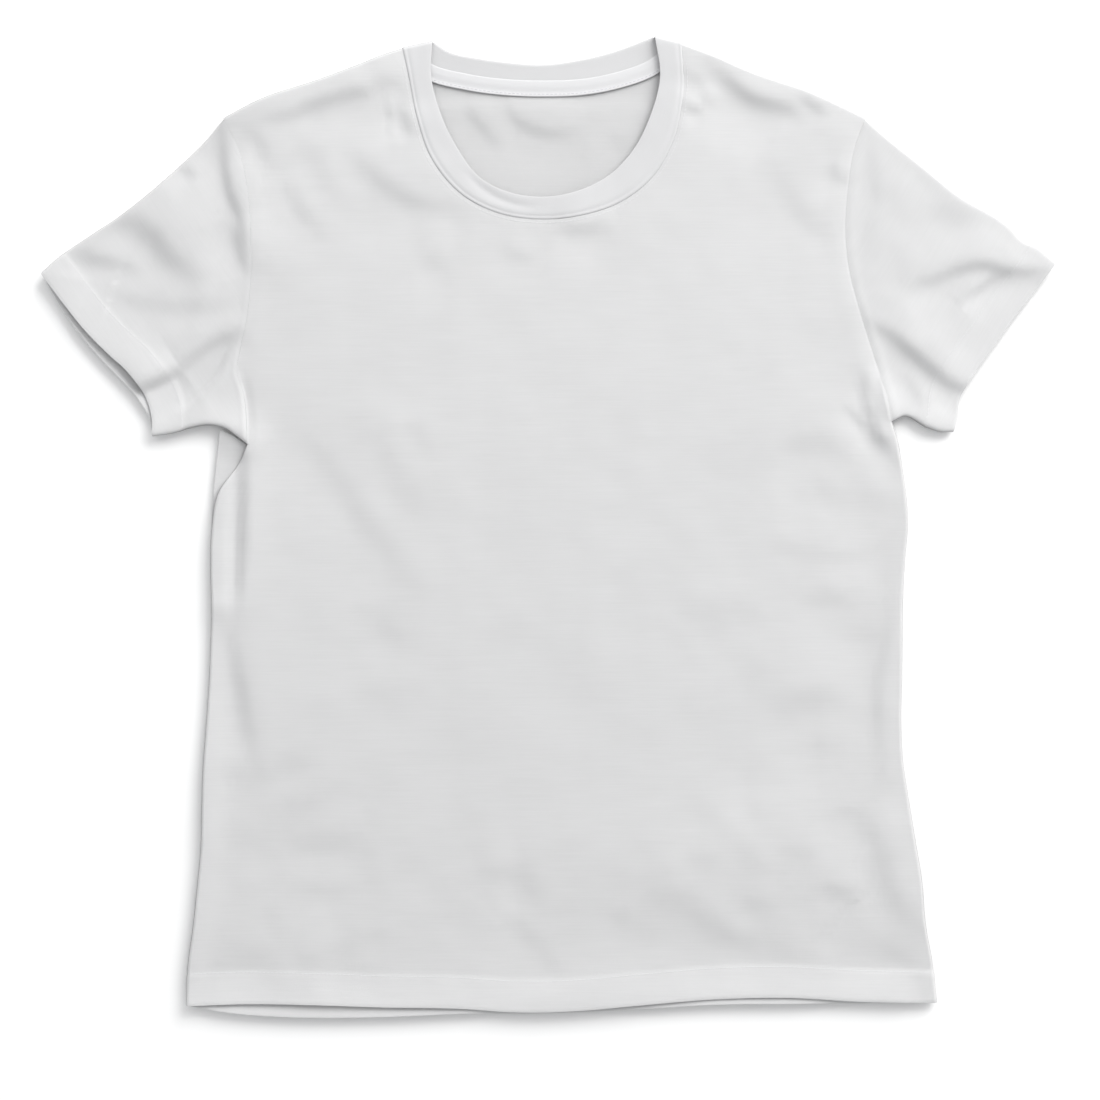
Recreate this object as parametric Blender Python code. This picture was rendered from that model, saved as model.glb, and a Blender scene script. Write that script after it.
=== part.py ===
"""Crew neck t-shirt, laid flat on its back with its front up.

Metres, +Z up, +Y towards the neck, origin under the middle of its outline. It is six cut
pieces: a back panel flat on the ground, a front panel over it, two sleeves that are
flattened loops, a rib neck band folded over at both shoulders, and a narrow tape over the
back neck seam. The hem and the cuffs are turned up, so the wall is thicker there.

Outlines are plan points in millimetres, as the shirt lies. Every piece is a wall of even
thickness on both sides of a middle surface, which is a grid of points.
"""

import math

import bmesh
import bpy
import numpy as np

MM = 0.001

# Cloth, millimetres.
JERSEY = 1.2
HEM_EXTRA = 0.6
HEM_DEPTH = 20.0
RIB = 1.8
TAPE = 1.0
TAPE_ABOVE_SEAM = 5.0
TAPE_BELOW_SEAM = 6.0
SEAM_GAP = 0.4
CORNER_GAP = 1.8
LAYER_GAP = 0.3

# How the upper layer stands over the lower one: heights of its middle surface, the room
# left inside a fold, and how wide the rounding of the upper and the lower layer is there.
LOFT = 4.7
LOWEST = 4.0
FOLD_ROOM = 0.4
RIB_FOLD_ROOM = 0.8
EDGE_ROLL = 4.0
UNDER_ROLL = 1.3

# Side seams from hem to underarm. The front lies a little inside the back.
LEFT_SIDE = (
    (-240.5, -318.0), (-240.0, -293.0), (-236.5, -266.0), (-233.8, -240.0), (-231.3, -213.0),
    (-230.7, -187.0), (-229.8, -160.0), (-227.9, -134.0), (-226.0, -107.0), (-224.8, -80.0),
    (-224.2, -54.0), (-224.8, -29.0), (-224.0, -2.0), (-222.5, 22.0), (-220.5, 42.0),
    (-218.0, 64.5),
)
RIGHT_SIDE = (
    (258.0, -316.0), (255.2, -290.0), (250.6, -263.0), (248.4, -236.0), (244.0, -209.0),
    (239.6, -182.0), (235.6, -155.0), (234.4, -128.0), (235.0, -102.0), (235.3, -75.0),
    (235.6, -49.0), (237.0, -22.0), (239.0, 4.0), (237.4, 24.0), (235.0, 40.0),
    (232.6, 55.0), (228.0, 69.0),
)
FRONT_INSET = 1.2
UNDERARM_TUCK = 16.8
TUCK_FROM = 12.0
TUCK_TO = 51.0

# Armhole seams from underarm to shoulder tip, shared by the panels and the sleeve.
LEFT_ARMHOLE = (
    (-200.0, 54.0), (-200.5, 72.0), (-202.5, 88.0), (-207.0, 103.0), (-205.0, 117.0),
    (-200.5, 138.0), (-198.0, 160.0), (-197.5, 190.0), (-199.5, 222.0), (-205.0, 248.0),
    (-216.0, 271.0),
)
RIGHT_ARMHOLE = (
    (228.0, 69.0), (224.5, 86.0), (219.0, 105.0), (212.0, 127.0), (205.5, 148.0),
    (200.0, 170.0), (197.5, 195.0), (199.0, 224.0), (203.0, 250.0), (210.5, 271.3),
)

# Shoulders from tip to neck.
LEFT_SHOULDER = (
    (-216.0, 271.0), (-192.0, 283.3), (-152.0, 296.8), (-124.0, 307.4), (-108.0, 314.0),
    (-97.0, 317.6),
)
RIGHT_SHOULDER = (
    (210.5, 271.3), (175.0, 288.0), (134.0, 302.2), (108.0, 313.6), (88.5, 321.2),
)

# Neck band, front half under the throat and back half behind it, left to right:
# where it is sewn on and where its free edge is.
#    seam x, seam y,   free x, free y
BAND_FRONT = (
    (-97.0, 317.6, -77.0, 322.0),
    (-92.5, 297.0, -78.0, 300.0),
    (-88.0, 274.0, -73.5, 280.0),
    (-77.0, 243.0, -62.0, 254.0),
    (-59.0, 221.5, -45.0, 231.5),
    (-33.0, 208.0, -26.0, 222.0),
    (-5.0, 204.0, -5.0, 219.0),
    (22.0, 206.5, 18.0, 222.5),
    (48.0, 215.5, 42.0, 235.0),
    (69.0, 232.0, 57.0, 251.5),
    (83.0, 256.0, 67.5, 273.0),
    (89.5, 290.0, 74.0, 299.0),
    (88.5, 321.2, 70.5, 325.5),
)
BAND_BACK = (
    (-97.0, 317.6, -77.0, 322.0),
    (-80.0, 303.0, -66.0, 315.3),
    (-55.0, 296.0, -48.0, 311.2),
    (-30.0, 292.5, -28.0, 308.4),
    (-4.0, 291.5, -4.0, 306.8),
    (22.0, 292.5, 21.0, 310.0),
    (46.0, 297.0, 42.0, 315.0),
    (68.0, 305.0, 58.0, 320.6),
    (88.5, 321.2, 70.5, 325.5),
)

# Lower edges from left to right. The back hem shows below the front one.
FRONT_HEM = (
    (-240.5, -317.0), (-200.0, -316.0), (-152.0, -317.0), (-112.0, -318.5), (-60.0, -319.5),
    (-20.0, -322.0), (20.0, -321.0), (60.0, -317.5), (110.0, -313.5), (160.0, -312.5),
    (205.0, -315.0), (257.0, -316.0),
)
BACK_HEM = (
    (-240.5, -318.0), (-210.0, -323.0), (-175.0, -325.5), (-110.0, -325.5), (-60.0, -323.5),
    (0.0, -323.0), (60.0, -320.5), (110.0, -317.5), (160.0, -317.0), (258.0, -316.5),
)

# Sleeves from the armhole outwards, and cuffs from the underarm to the top. The under
# layer of the left cuff shows past the upper one.
LEFT_OVERARM = (
    (-216.0, 271.0), (-228.0, 256.0), (-245.0, 239.5), (-266.0, 220.5), (-286.0, 205.0),
    (-305.0, 192.5), (-325.0, 178.5), (-336.5, 167.5),
)
LEFT_UNDERARM = (
    (-200.0, 54.0), (-206.0, 59.5), (-215.0, 65.5), (-226.0, 67.5), (-236.0, 66.0),
    (-249.0, 62.5), (-263.0, 60.5),
)
LEFT_CUFF = (
    (-263.0, 60.5), (-263.0, 70.0), (-266.5, 84.0), (-279.0, 102.5), (-292.0, 114.5),
    (-305.5, 128.0), (-321.0, 147.0), (-336.5, 167.5),
)
LEFT_CUFF_UNDER = (
    (-263.0, 60.5), (-265.0, 71.0), (-272.5, 84.5), (-284.0, 97.5), (-296.5, 110.5),
    (-308.5, 124.0), (-318.5, 137.5), (-336.5, 167.5),
)
RIGHT_OVERARM = (
    (210.5, 271.3), (220.5, 261.3), (247.0, 239.8), (273.5, 218.6), (300.0, 203.0),
    (307.0, 197.5), (313.5, 190.0), (324.0, 185.0), (336.5, 174.5),
)
RIGHT_UNDERARM = (
    (228.0, 69.0), (236.0, 73.5), (250.5, 66.5), (260.0, 63.5), (269.0, 63.5),
)
RIGHT_CUFF = (
    (269.0, 63.5), (271.4, 72.0), (272.8, 84.0), (279.8, 97.4), (289.0, 110.7),
    (298.8, 124.0), (308.2, 137.3), (318.6, 150.6), (336.5, 174.5),
)

# Broad swells of the upper layer.
#     x,     y,  radius, height
SWELLS = (
    (82.0, 300.0, 34.0, 1.0),
    (-70.0, 250.0, 45.0, 0.5),
    (-232.0, -20.0, 22.0, 0.8),
    (-308.0, 150.0, 42.0, 1.0),
    (300.0, 150.0, 45.0, 1.0),
    (-150.0, -300.0, 60.0, 0.9),
    (60.0, -300.0, 50.0, 0.8),
    (235.0, -250.0, 45.0, 0.7),
    (-185.0, 285.0, 26.0, 0.9),
    (175.0, 272.0, 30.0, 0.9),
    (0.0, 60.0, 120.0, 0.4),
)

# Largest folds: a trough is below the surface round it, a ridge above. Bow is how far the
# middle of the fold lies to the left of the straight line from its start to its end. Its
# height dies out towards both ends, the more gently the larger FOLD_FADE is.
FOLD_FADE = 0.7
#    start x, start y,  end x, end y,  bow, half width, height
FOLDS = (
    (-206.0, 112.0, -204.0, -45.0, 3.0, 8.0, -1.2),
    (-213.0, 60.0, -214.0, -60.0, 2.0, 7.0, 0.8),
    (-224.0, 268.0, -200.0, 168.0, 6.0, 8.0, -1.1),
    (-298.0, 201.0, -226.0, 163.0, 8.0, 9.0, -1.3),
    (-298.0, 152.0, -210.0, 140.0, -6.0, 12.0, -0.7),
    (-212.0, 138.0, -262.0, 92.0, 3.0, 9.0, -0.9),
    (-195.0, 274.0, -95.0, 292.0, -5.0, 9.0, -1.0),
    (98.0, 300.0, 175.0, 268.0, -5.0, 9.0, -1.1),
    (212.0, 268.0, 208.0, 172.0, 5.0, 8.0, -0.8),
    (238.0, 160.0, 326.0, 170.0, 7.0, 9.0, -1.1),
    (208.0, 138.0, 278.0, 86.0, -2.0, 10.0, -1.4),
    (190.0, 88.0, 231.0, 40.0, 2.0, 8.0, -1.2),
    (208.0, 104.0, 226.0, 50.0, -2.0, 6.0, 1.0),
    (-168.0, 78.0, -80.0, -50.0, -4.0, 12.0, -0.8),
    (-130.0, 74.0, -78.0, 2.0, -2.0, 11.0, -0.5),
    (-222.0, -54.0, -192.0, -164.0, -5.0, 9.0, -1.0),
    (-160.0, -205.0, -202.0, -172.0, -3.0, 9.0, -0.6),
    (-214.0, -300.0, -135.0, -282.0, 3.0, 11.0, -0.7),
    (140.0, 26.0, 204.0, 50.0, -10.0, 10.0, -0.7),
    (138.0, -130.0, 198.0, -116.0, -5.0, 10.0, -0.7),
    (228.0, -14.0, 222.0, -176.0, 4.0, 9.0, -0.8),
    (62.0, -234.0, 190.0, -292.0, -6.0, 12.0, -1.0),
    (92.0, -178.0, 142.0, -232.0, -2.0, 11.0, -0.6),
    (208.0, -222.0, 254.0, -284.0, 3.0, 9.0, -1.0),
    (-26.0, -226.0, 4.0, -300.0, -4.0, 11.0, -0.6),
    (-14.0, -246.0, 16.0, -286.0, -2.0, 8.0, 0.6),
)

# Corner of the back panel that shows under the left sleeve: a ledge beside the underarm.
LEFT_LEDGE = ((-218.0, 64.5), (-209.5, 60.4))

# How the grids are spaced: where an edge passes a corner, as a fraction of it, then steps
# and counts. A turned-up hem's first rows lie on both sides of its stitching.
UNDERARM_AT = 0.62
STITCH_STEP = 1.0
HEM_STEPS = (0.0, HEM_DEPTH - STITCH_STEP, HEM_DEPTH + STITCH_STEP)
TURNED_ROWS = 2
TRIAL_SHARE = 0.04
FRONT_SIDE_ROWS = 20
FRONT_SHOULDER_COLUMNS = 7
BACK_SIDE_ROWS = 9
BACK_SHOULDER_COLUMNS = 4
ARMHOLE_STEPS = 13
NECK_STEPS = 19
STRAP_STEPS = 6
SLEEVE_ROWS = 9
BAND_ROWS = 3
TAPE_COLUMNS = 16
TAPE_ENDS = (0.10, 0.90)
ARMHOLE_LENGTH = 225.0
NECK_LENGTH = 290.0
SHOULDER_LENGTH = 128.0
ROLL_TURNS = (0.0, 30.0, 60.0, 90.0)
NO_TURNS = (0.0,)

# How fast the bends of a body panel's sides and ends fade away from them.
SIDE_FADE = 4
END_FADE = 2

WHITE_JERSEY = (0.72, 0.72, 0.73, 1.0)
WHITE_RIB = (0.76, 0.76, 0.77, 1.0)
WHITE_TAPE = (0.80, 0.80, 0.81, 1.0)
ROUGHNESS = 0.9
SHARP_ANGLE = math.radians(50)


def along(points, fractions):
    """Points at fractions of the length of a smooth curve through the given points."""
    points = np.array(points, dtype=float)
    chords = np.linalg.norm(np.diff(points, axis=0), axis=1)
    knots = np.concatenate(([0.0], np.cumsum(chords)))
    slopes = np.gradient(points, knots, axis=0)
    at = np.asarray(fractions, dtype=float) * knots[-1]
    span = np.clip(np.searchsorted(knots, at, side="right") - 1, 0, len(chords) - 1)
    length = chords[span][:, None]
    u = ((at - knots[span]) / chords[span])[:, None]
    start = (1 + 2 * u) * (1 - u) ** 2 * points[span]
    end = u * u * (3 - 2 * u) * points[span + 1]
    leave = u * (1 - u) ** 2 * length * slopes[span]
    arrive = u * u * (u - 1) * length * slopes[span + 1]
    return start + end + leave + arrive


def along_joined(curves, corners, fractions):
    """The same for several curves end to end, which meet at the fractions in corners."""
    fractions = np.asarray(fractions, dtype=float)
    limits = (0.0, *corners, 1.0)
    result = np.zeros((len(fractions), 2))
    for curve, low, high in zip(curves, limits[:-1], limits[1:]):
        inside = (fractions >= low) & (fractions <= high)
        result[inside] = along(curve, (fractions[inside] - low) / (high - low))
    return result


def moved_aside(points, distance):
    """A row of plan points moved to the left of the way it runs."""
    way = np.gradient(points, axis=0)
    way /= np.linalg.norm(way, axis=1)[:, None]
    return points + distance * np.stack((-way[:, 1], way[:, 0]), axis=1)


def patch(left, right, bottom, top, across, up, side_fade=1, end_fade=1):
    """A grid of plan points that spans four edges: rows go up, columns go across.

    The sides hold a point for each place in the grid, the ends a point for each column, and
    up holds each place's fraction of the way from the bottom to the top. Between the four
    corners the grid is even, and an edge's departure from straight fades away from it.
    """
    s = across[None, :, None]
    t = up[..., None]
    left_bend = left - (1 - t) * bottom[0] - t * top[0]
    right_bend = right - (1 - t) * bottom[-1] - t * top[-1]
    bottom_bend = bottom[None] - (1 - s) * bottom[0] - s * bottom[-1]
    top_bend = top[None] - (1 - s) * top[0] - s * top[-1]
    even = (1 - t) * ((1 - s) * bottom[0] + s * bottom[-1]) + t * ((1 - s) * top[0] + s * top[-1])
    sides = (1 - s) ** side_fade * left_bend + s ** side_fade * right_bend
    ends = (1 - t) ** end_fade * bottom_bend + t ** end_fade * top_bend
    return even + sides + ends


def distance_to(plan, chains):
    """How far each plan point is from the nearest of several chains of points."""
    nearest = np.full(plan.shape[:-1], np.inf)
    for chain in chains:
        for start, end in zip(chain[:-1], chain[1:]):
            way = end - start
            reach = np.clip(((plan - start) @ way) / (way @ way), 0, 1)
            gap = np.linalg.norm(plan - start - reach[..., None] * way, axis=-1)
            nearest = np.minimum(nearest, gap)
    return nearest


def quarter_round(share):
    """Height of a quarter circle from its foot at 0 to its crown at 1 and beyond."""
    return np.sqrt(1 - (1 - np.clip(share, 0, 1)) ** 2)


def fold_height(plan, fold):
    """One soft trough or ridge along a bowed line, fading out at both ends."""
    start_x, start_y, end_x, end_y, bow, half_width, height = fold
    start = np.array((start_x, start_y))
    way = np.array((end_x, end_y)) - start
    length = np.linalg.norm(way)
    way /= length
    share = np.clip(((plan - start) @ way) / length, 0, 1)
    side = (plan - start) @ np.array((-way[1], way[0])) - bow * 4 * share * (1 - share)
    return height * np.exp(-((side / half_width) ** 2)) * np.sin(math.pi * share) ** FOLD_FADE


def upper_height(plan):
    """Height of the upper layer's middle surface, away from its rolled edges."""
    height = np.full(plan.shape[:-1], LOFT)
    for x, y, radius, rise in SWELLS:
        away = np.linalg.norm(plan - np.array((x, y)), axis=-1)
        height += rise * np.exp(-((away / radius) ** 2))
    for fold in FOLDS:
        height += fold_height(plan, fold)
    return np.maximum(height, LOWEST)


def spaced(length, count, first_turns, last_turns):
    """Fractions of an edge: even steps between those of the rolled edges at its two ends.

    A rolled edge's steps are given as turns, from 0 at its foot to 90 degrees at its crown.
    """
    first = EDGE_ROLL * (1 - np.cos(np.radians(first_turns))) / length
    last = 1 - EDGE_ROLL * (1 - np.cos(np.radians(last_turns[::-1]))) / length
    middle = np.linspace(first[-1], last[0], count + 1)[1:-1]
    return np.concatenate((first, middle, last))


def armhole_steps():
    return spaced(ARMHOLE_LENGTH, ARMHOLE_STEPS, ROLL_TURNS, ROLL_TURNS)


def neck_steps():
    return spaced(NECK_LENGTH, NECK_STEPS, ROLL_TURNS, ROLL_TURNS)


def rows_from_hem(rates, even_rows, fixed):
    """Each column's fractions of the way up from a hem.

    The hem's own rows come first, at true distances that the rates turn into fractions,
    then even rows, then the rows at the fractions in fixed.
    """
    near = np.array(HEM_STEPS)[:, None] / rates[None]
    share = np.linspace(0, 1, even_rows + 1)[1:-1, None]
    even = near[-1] + (fixed[0] - near[-1]) * share
    rest = np.repeat(np.array(fixed)[:, None], len(rates), axis=1)
    return np.concatenate((near, even, rest))


def with_height(plan, height):
    return np.concatenate((plan, height[..., None]), axis=-1)


def make_material(name, colour):
    material = bpy.data.materials.new(name)
    material.use_nodes = True
    surface = material.node_tree.nodes["Principled BSDF"]
    surface.inputs["Base Color"].default_value = colour
    surface.inputs["Roughness"].default_value = ROUGHNESS
    surface.inputs["Metallic"].default_value = 0.0
    return material


def square_to(chain):
    """Level unit vectors square to a chain of plan points."""
    way = np.gradient(chain, axis=0)
    way /= np.linalg.norm(way, axis=1)[:, None]
    return np.stack((way[:, 1], -way[:, 0], np.zeros(len(chain))), axis=1)


def make_wall(name, middle, thickness, colour, square, rolled=None, cells=None, looped=False):
    """A closed wall on both sides of a grid of points, whose columns may join up in a loop.

    Where square holds a direction, the wall is cut off square to it. Where rolled holds one,
    the wall's edge faces that way. Only the grid's cells that are true in cells are made.
    """
    rows, columns = middle.shape[:2]
    number = np.arange(rows * columns).reshape(rows, columns)
    if looped:
        number = np.concatenate((number, number[:, :1]), axis=1)
    corners = (number[:-1, :-1], number[:-1, 1:], number[1:, 1:], number[1:, :-1])
    quads = np.stack(corners, axis=-1)
    quads = quads.reshape(-1, 4) if cells is None else quads[cells]

    points = middle.reshape(-1, 3)
    slants = np.cross(points[quads[:, 2]] - points[quads[:, 0]], points[quads[:, 3]] - points[quads[:, 1]])
    normal = np.zeros(points.shape)
    for corner in range(4):
        np.add.at(normal, quads[:, corner], slants)
    if rolled is not None:
        facing = rolled.reshape(-1, 3)
        normal = np.where(np.any(facing != 0, axis=1)[:, None], facing, normal)
        square = np.where(np.any(rolled != 0, axis=-1)[..., None], 0, square)
    across = square.reshape(-1, 3)
    normal -= np.sum(normal * across, axis=1)[:, None] * across
    used = np.unique(quads)
    normal[used] /= np.linalg.norm(normal[used], axis=1)[:, None]
    offset = normal * thickness.reshape(-1, 1) / 2

    shape = bmesh.new()
    upper = {place: shape.verts.new(points[place] + offset[place]) for place in used.tolist()}
    lower = {place: shape.verts.new(points[place] - offset[place]) for place in used.tolist()}
    for quad in quads.tolist():
        for layer in (upper, lower):
            shape.faces.new([layer[place] for place in quad])
    place_of = {vert: place for place, vert in upper.items()}
    for edge in [edge for edge in shape.edges if len(edge.link_faces) == 1]:
        if edge.verts[0] in place_of:
            first, second = (place_of[vert] for vert in edge.verts)
            shape.faces.new((upper[first], upper[second], lower[second], lower[first]))
    bmesh.ops.scale(shape, vec=(MM, MM, MM), verts=shape.verts)
    bmesh.ops.recalc_face_normals(shape, faces=shape.faces)
    mesh = bpy.data.meshes.new(name)
    shape.to_mesh(mesh)
    shape.free()
    mesh.shade_smooth()
    mesh.set_sharp_from_angle(angle=SHARP_ANGLE)
    mesh.materials.append(make_material(name, colour))
    wall = bpy.data.objects.new(name, mesh)
    bpy.context.collection.objects.link(wall)


def front_side(side, armhole, inward):
    """The front's side seam: inside the back's, and on the left tucked in at the underarm."""
    points = np.array(side)
    points[:, 0] += inward * FRONT_INSET
    if inward > 0:
        share = np.clip((points[:, 1] - TUCK_FROM) / (TUCK_TO - TUCK_FROM), 0, 1)
        points[:, 0] += UNDERARM_TUCK * share * share * (3 - 2 * share)
    points[-1] = armhole[0]
    return points


def body_plan(left, right, hem, top, even_rows, fixed):
    """Plan grid of a panel from its hem up to a top row, whose points set the columns.

    The sides are (curves, corners). The fractions in fixed are of their whole length, and
    the last one is where the top row meets them.
    """
    columns = (top[:, 0] - top[0, 0]) / (top[-1, 0] - top[0, 0])
    bottom = along(hem, columns)

    def spanned(up):
        at = fixed[-1] * up.ravel()
        edges = [along_joined(*side, at).reshape(*up.shape, 2) for side in (left, right)]
        return patch(*edges, bottom, top, columns, up, SIDE_FADE, END_FADE)

    trial = spanned(np.stack((np.zeros(len(columns)), np.full(len(columns), TRIAL_SHARE))))
    rates = np.linalg.norm(trial[1] - trial[0], axis=1) / TRIAL_SHARE
    return spanned(rows_from_hem(rates, even_rows, np.array(fixed) / fixed[-1]))


def chain_square(square, plan, places):
    """Sets the cut's direction along a chain of grid places, each a row and a column."""
    rows, columns = np.array(places).T
    square[rows, columns] = square_to(plan[rows, columns])


def turned_up(shape):
    """1 where the grid's rows lie in a turned-up hem, which starts at its first row."""
    turned = np.zeros(shape)
    turned[:TURNED_ROWS] = 1.0
    return turned


def make_back():
    """The back panel, flat on the ground, with a corner that shows under the left sleeve."""
    steps = np.linspace(0, 1, BACK_SHOULDER_COLUMNS + 1)
    crown = len(ROLL_TURNS) - 1
    neck = along([row[:2] for row in BAND_BACK], (0, *neck_steps()[crown:-crown], 1))
    shoulders = (along(LEFT_SHOULDER, steps), along(RIGHT_SHOULDER, steps)[::-1])
    top = np.concatenate((shoulders[0][:-1], moved_aside(neck, -SEAM_GAP), shoulders[1][1:]))
    across = ((top[:, 0] - top[0, 0]) / (top[-1, 0] - top[0, 0]))[:, None]

    underarms = np.array((LEFT_ARMHOLE[0], RIGHT_ARMHOLE[0]))
    level = underarms[0] + across * (underarms[1] - underarms[0])
    sides = (((LEFT_SIDE,), ()), ((RIGHT_SIDE,), ()))
    body = body_plan(*sides, BACK_HEM, np.concatenate((LEFT_LEDGE, level)), BACK_SIDE_ROWS, (1.0,))
    ledge = len(LEFT_LEDGE)
    steps = armhole_steps()
    up = np.repeat(steps[:, None], len(top), axis=1)
    armholes = (along(LEFT_ARMHOLE, steps)[:, None], along(RIGHT_ARMHOLE, steps)[:, None])
    yoke = patch(*armholes, level, top, across[:, 0], up)
    nothing = np.zeros((len(yoke), ledge, 2))
    plan = np.concatenate((body, np.concatenate((nothing, yoke), axis=1)[1:]))

    rows, columns = plan.shape[:2]
    underarm = len(body) - 1
    cells = np.ones((rows - 1, columns - 1), dtype=bool)
    cells[underarm:, :ledge] = False
    square = np.zeros((rows, columns, 3))
    chain_square(square, plan, [(0, column) for column in range(columns)])
    neck_columns = range(ledge + BACK_SHOULDER_COLUMNS, columns - BACK_SHOULDER_COLUMNS)
    chain_square(square, plan, [(rows - 1, column) for column in neck_columns])
    for side in (ledge, columns - 1):
        chain_square(square, plan, [(row, side) for row in range(underarm, rows)])
    thickness = JERSEY + HEM_EXTRA * turned_up(plan.shape[:2])
    middle = with_height(plan, thickness / 2)
    make_wall("back_panel", middle, thickness, WHITE_JERSEY, square, cells=cells)


def make_strap(armhole, neck, shoulder, chest, steps):
    """Plan grid of the front beside the neck, from the chest row up to the shoulder."""
    up = (steps - steps[0]) / (1 - steps[0])
    across = spaced(SHOULDER_LENGTH, FRONT_SHOULDER_COLUMNS, ROLL_TURNS, NO_TURNS)
    up = np.repeat(up[:, None], len(across), axis=1)
    return patch(along(armhole, steps)[:, None], neck[:, None], chest, along(shoulder, across), across, up)


def make_front():
    """The front panel over the back, rolled down to it at the sides and the shoulders.

    Up to a chest row that touches the neck's lower curve it is one grid. Above that row only
    the columns of the two straps beside the neck go on.
    """
    neck = moved_aside(along([row[:2] for row in BAND_FRONT], neck_steps()), -SEAM_GAP)
    armhole = armhole_steps()
    strap_rows = STRAP_STEPS + len(ROLL_TURNS) - 1
    strap_steps = armhole[-strap_rows - 1:]
    across = spaced(SHOULDER_LENGTH, FRONT_SHOULDER_COLUMNS, ROLL_TURNS, NO_TURNS)[:, None]
    left_neck = neck[strap_rows::-1]
    right_neck = neck[-strap_rows - 1:]
    straps = []
    for edge, side, shoulder in (
        (LEFT_ARMHOLE, left_neck, LEFT_SHOULDER),
        (RIGHT_ARMHOLE, right_neck, RIGHT_SHOULDER),
    ):
        start = along(edge, strap_steps[:1])
        chest = start + across * (side[0] - start)
        straps.append(make_strap(edge, side, shoulder, chest, strap_steps))
    straps[1] = straps[1][:, ::-1]
    curve = neck[strap_rows + 1:-strap_rows - 1]
    top = np.concatenate((straps[0][0], curve, straps[1][0]))

    fixed = UNDERARM_AT + (1 - UNDERARM_AT) * armhole[:-strap_rows]
    left = ((front_side(LEFT_SIDE, LEFT_ARMHOLE, 1), LEFT_ARMHOLE), (UNDERARM_AT,))
    right = ((front_side(RIGHT_SIDE, RIGHT_ARMHOLE, -1), RIGHT_ARMHOLE), (UNDERARM_AT,))
    body = body_plan(left, right, FRONT_HEM, top, FRONT_SIDE_ROWS, fixed)
    gap = np.repeat(curve[None], strap_rows, axis=0)
    plan = np.concatenate((body, np.concatenate((straps[0][1:], gap, straps[1][1:]), axis=1)))

    rows, columns = plan.shape[:2]
    chest_row = len(body) - 1
    underarm = chest_row - len(fixed) + 1
    strap = len(across)
    inner = (strap - 1, columns - strap)
    square = np.zeros((rows, columns, 3))
    chain_square(square, plan, [(0, column) for column in range(columns)])
    for side in (0, columns - 1):
        chain_square(square, plan, [(row, side) for row in range(underarm, rows)])
    neck_places = [(row, inner[0]) for row in range(rows - 1, chest_row, -1)]
    neck_places += [(chest_row, column) for column in range(inner[0], inner[1] + 1)]
    neck_places += [(row, inner[1]) for row in range(chest_row + 1, rows)]
    chain_square(square, plan, neck_places)

    rolled = np.zeros((rows, columns, 3))
    edges = [[(row, side) for row in range(underarm + 1)] for side in (0, columns - 1)]
    edges += [[(rows - 1, column) for column in range(strap)]]
    edges += [[(rows - 1, column) for column in range(columns - strap, columns)]]
    for places in edges:
        chain_square(rolled, plan, places)
    rolled[:underarm + 1, 0] *= -1
    rolled[-1] *= -1

    cells = np.ones((rows - 1, columns - 1), dtype=bool)
    cells[chest_row:, inner[0]:inner[1]] = False
    chains = [plan[tuple(np.array(places).T)] for places in edges]
    rise = quarter_round(distance_to(plan, chains) / EDGE_ROLL)
    thickness = JERSEY + HEM_EXTRA * turned_up(plan.shape[:2])
    foot = thickness + FOLD_ROOM
    height = foot + (upper_height(plan) - foot) * rise
    make_wall("front_panel", with_height(plan, height), thickness, WHITE_JERSEY, square, rolled, cells)


def make_loop(name, upper, lower, thickness, room, colour):
    """A flattened loop of cloth: two layers that meet at the first and the last column."""
    folds = (upper[:, 0], upper[:, -1])
    rise = quarter_round(distance_to(upper, folds) / EDGE_ROLL)
    sink = quarter_round(distance_to(lower, folds) / UNDER_ROLL)
    foot = thickness + room
    upper_layer = with_height(upper, foot + (upper_height(upper) - foot) * rise)
    lower_layer = with_height(lower, foot - (foot - thickness / 2) * sink)
    square = np.zeros((2, *upper.shape[:2], 3))
    for layer, plan in zip(square, (upper, lower)):
        for row in (0, -1):
            layer[row] = square_to(plan[row])

    def all_round(over, under):
        return np.concatenate((over, under[:, -2:0:-1]), axis=1)

    middle = all_round(upper_layer, lower_layer)
    make_wall(name, middle, all_round(thickness, thickness), colour, all_round(*square), looped=True)


def make_sleeve(name, armhole, cuff, cuff_under, underarm, overarm, outward):
    """A sleeve: one loop of cloth, open at the armhole and at the cuff."""
    columns = armhole_steps()
    corner = CORNER_GAP / ARMHOLE_LENGTH
    seam = moved_aside(along(armhole, corner + (1 - 2 * corner) * columns), outward * SEAM_GAP)
    under = np.concatenate((np.array(underarm)[:0:-1], seam[:1]))
    over = np.concatenate((np.array(overarm)[:0:-1], seam[-1:]))
    layers = []
    for edge in (cuff, cuff_under):
        ends = along(edge, columns)
        rows = rows_from_hem(np.linalg.norm(ends - seam, axis=1), SLEEVE_ROWS, (1.0,))
        sides = [along(line, rows.ravel()).reshape(*rows.shape, 2) for line in (under, over)]
        layers.append(patch(*sides, ends, seam, columns, rows))
    thickness = JERSEY + HEM_EXTRA * turned_up(rows.shape)
    make_loop(name, *layers, thickness, FOLD_ROOM, WHITE_JERSEY)


def make_neck_band():
    """The rib band: its front half over its back half, folded at both shoulders."""
    columns = neck_steps()
    up = np.linspace(0, 1, BAND_ROWS + 1)[:, None, None]
    layers = []
    for table in (BAND_FRONT, BAND_BACK):
        seam = along([row[:2] for row in table], columns)
        free = along([row[2:] for row in table], columns)
        layers.append((1 - up) * seam + up * free)
    make_loop("neck_band", *layers, np.full(layers[0].shape[:2], RIB), RIB_FOLD_ROOM, WHITE_RIB)


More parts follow.
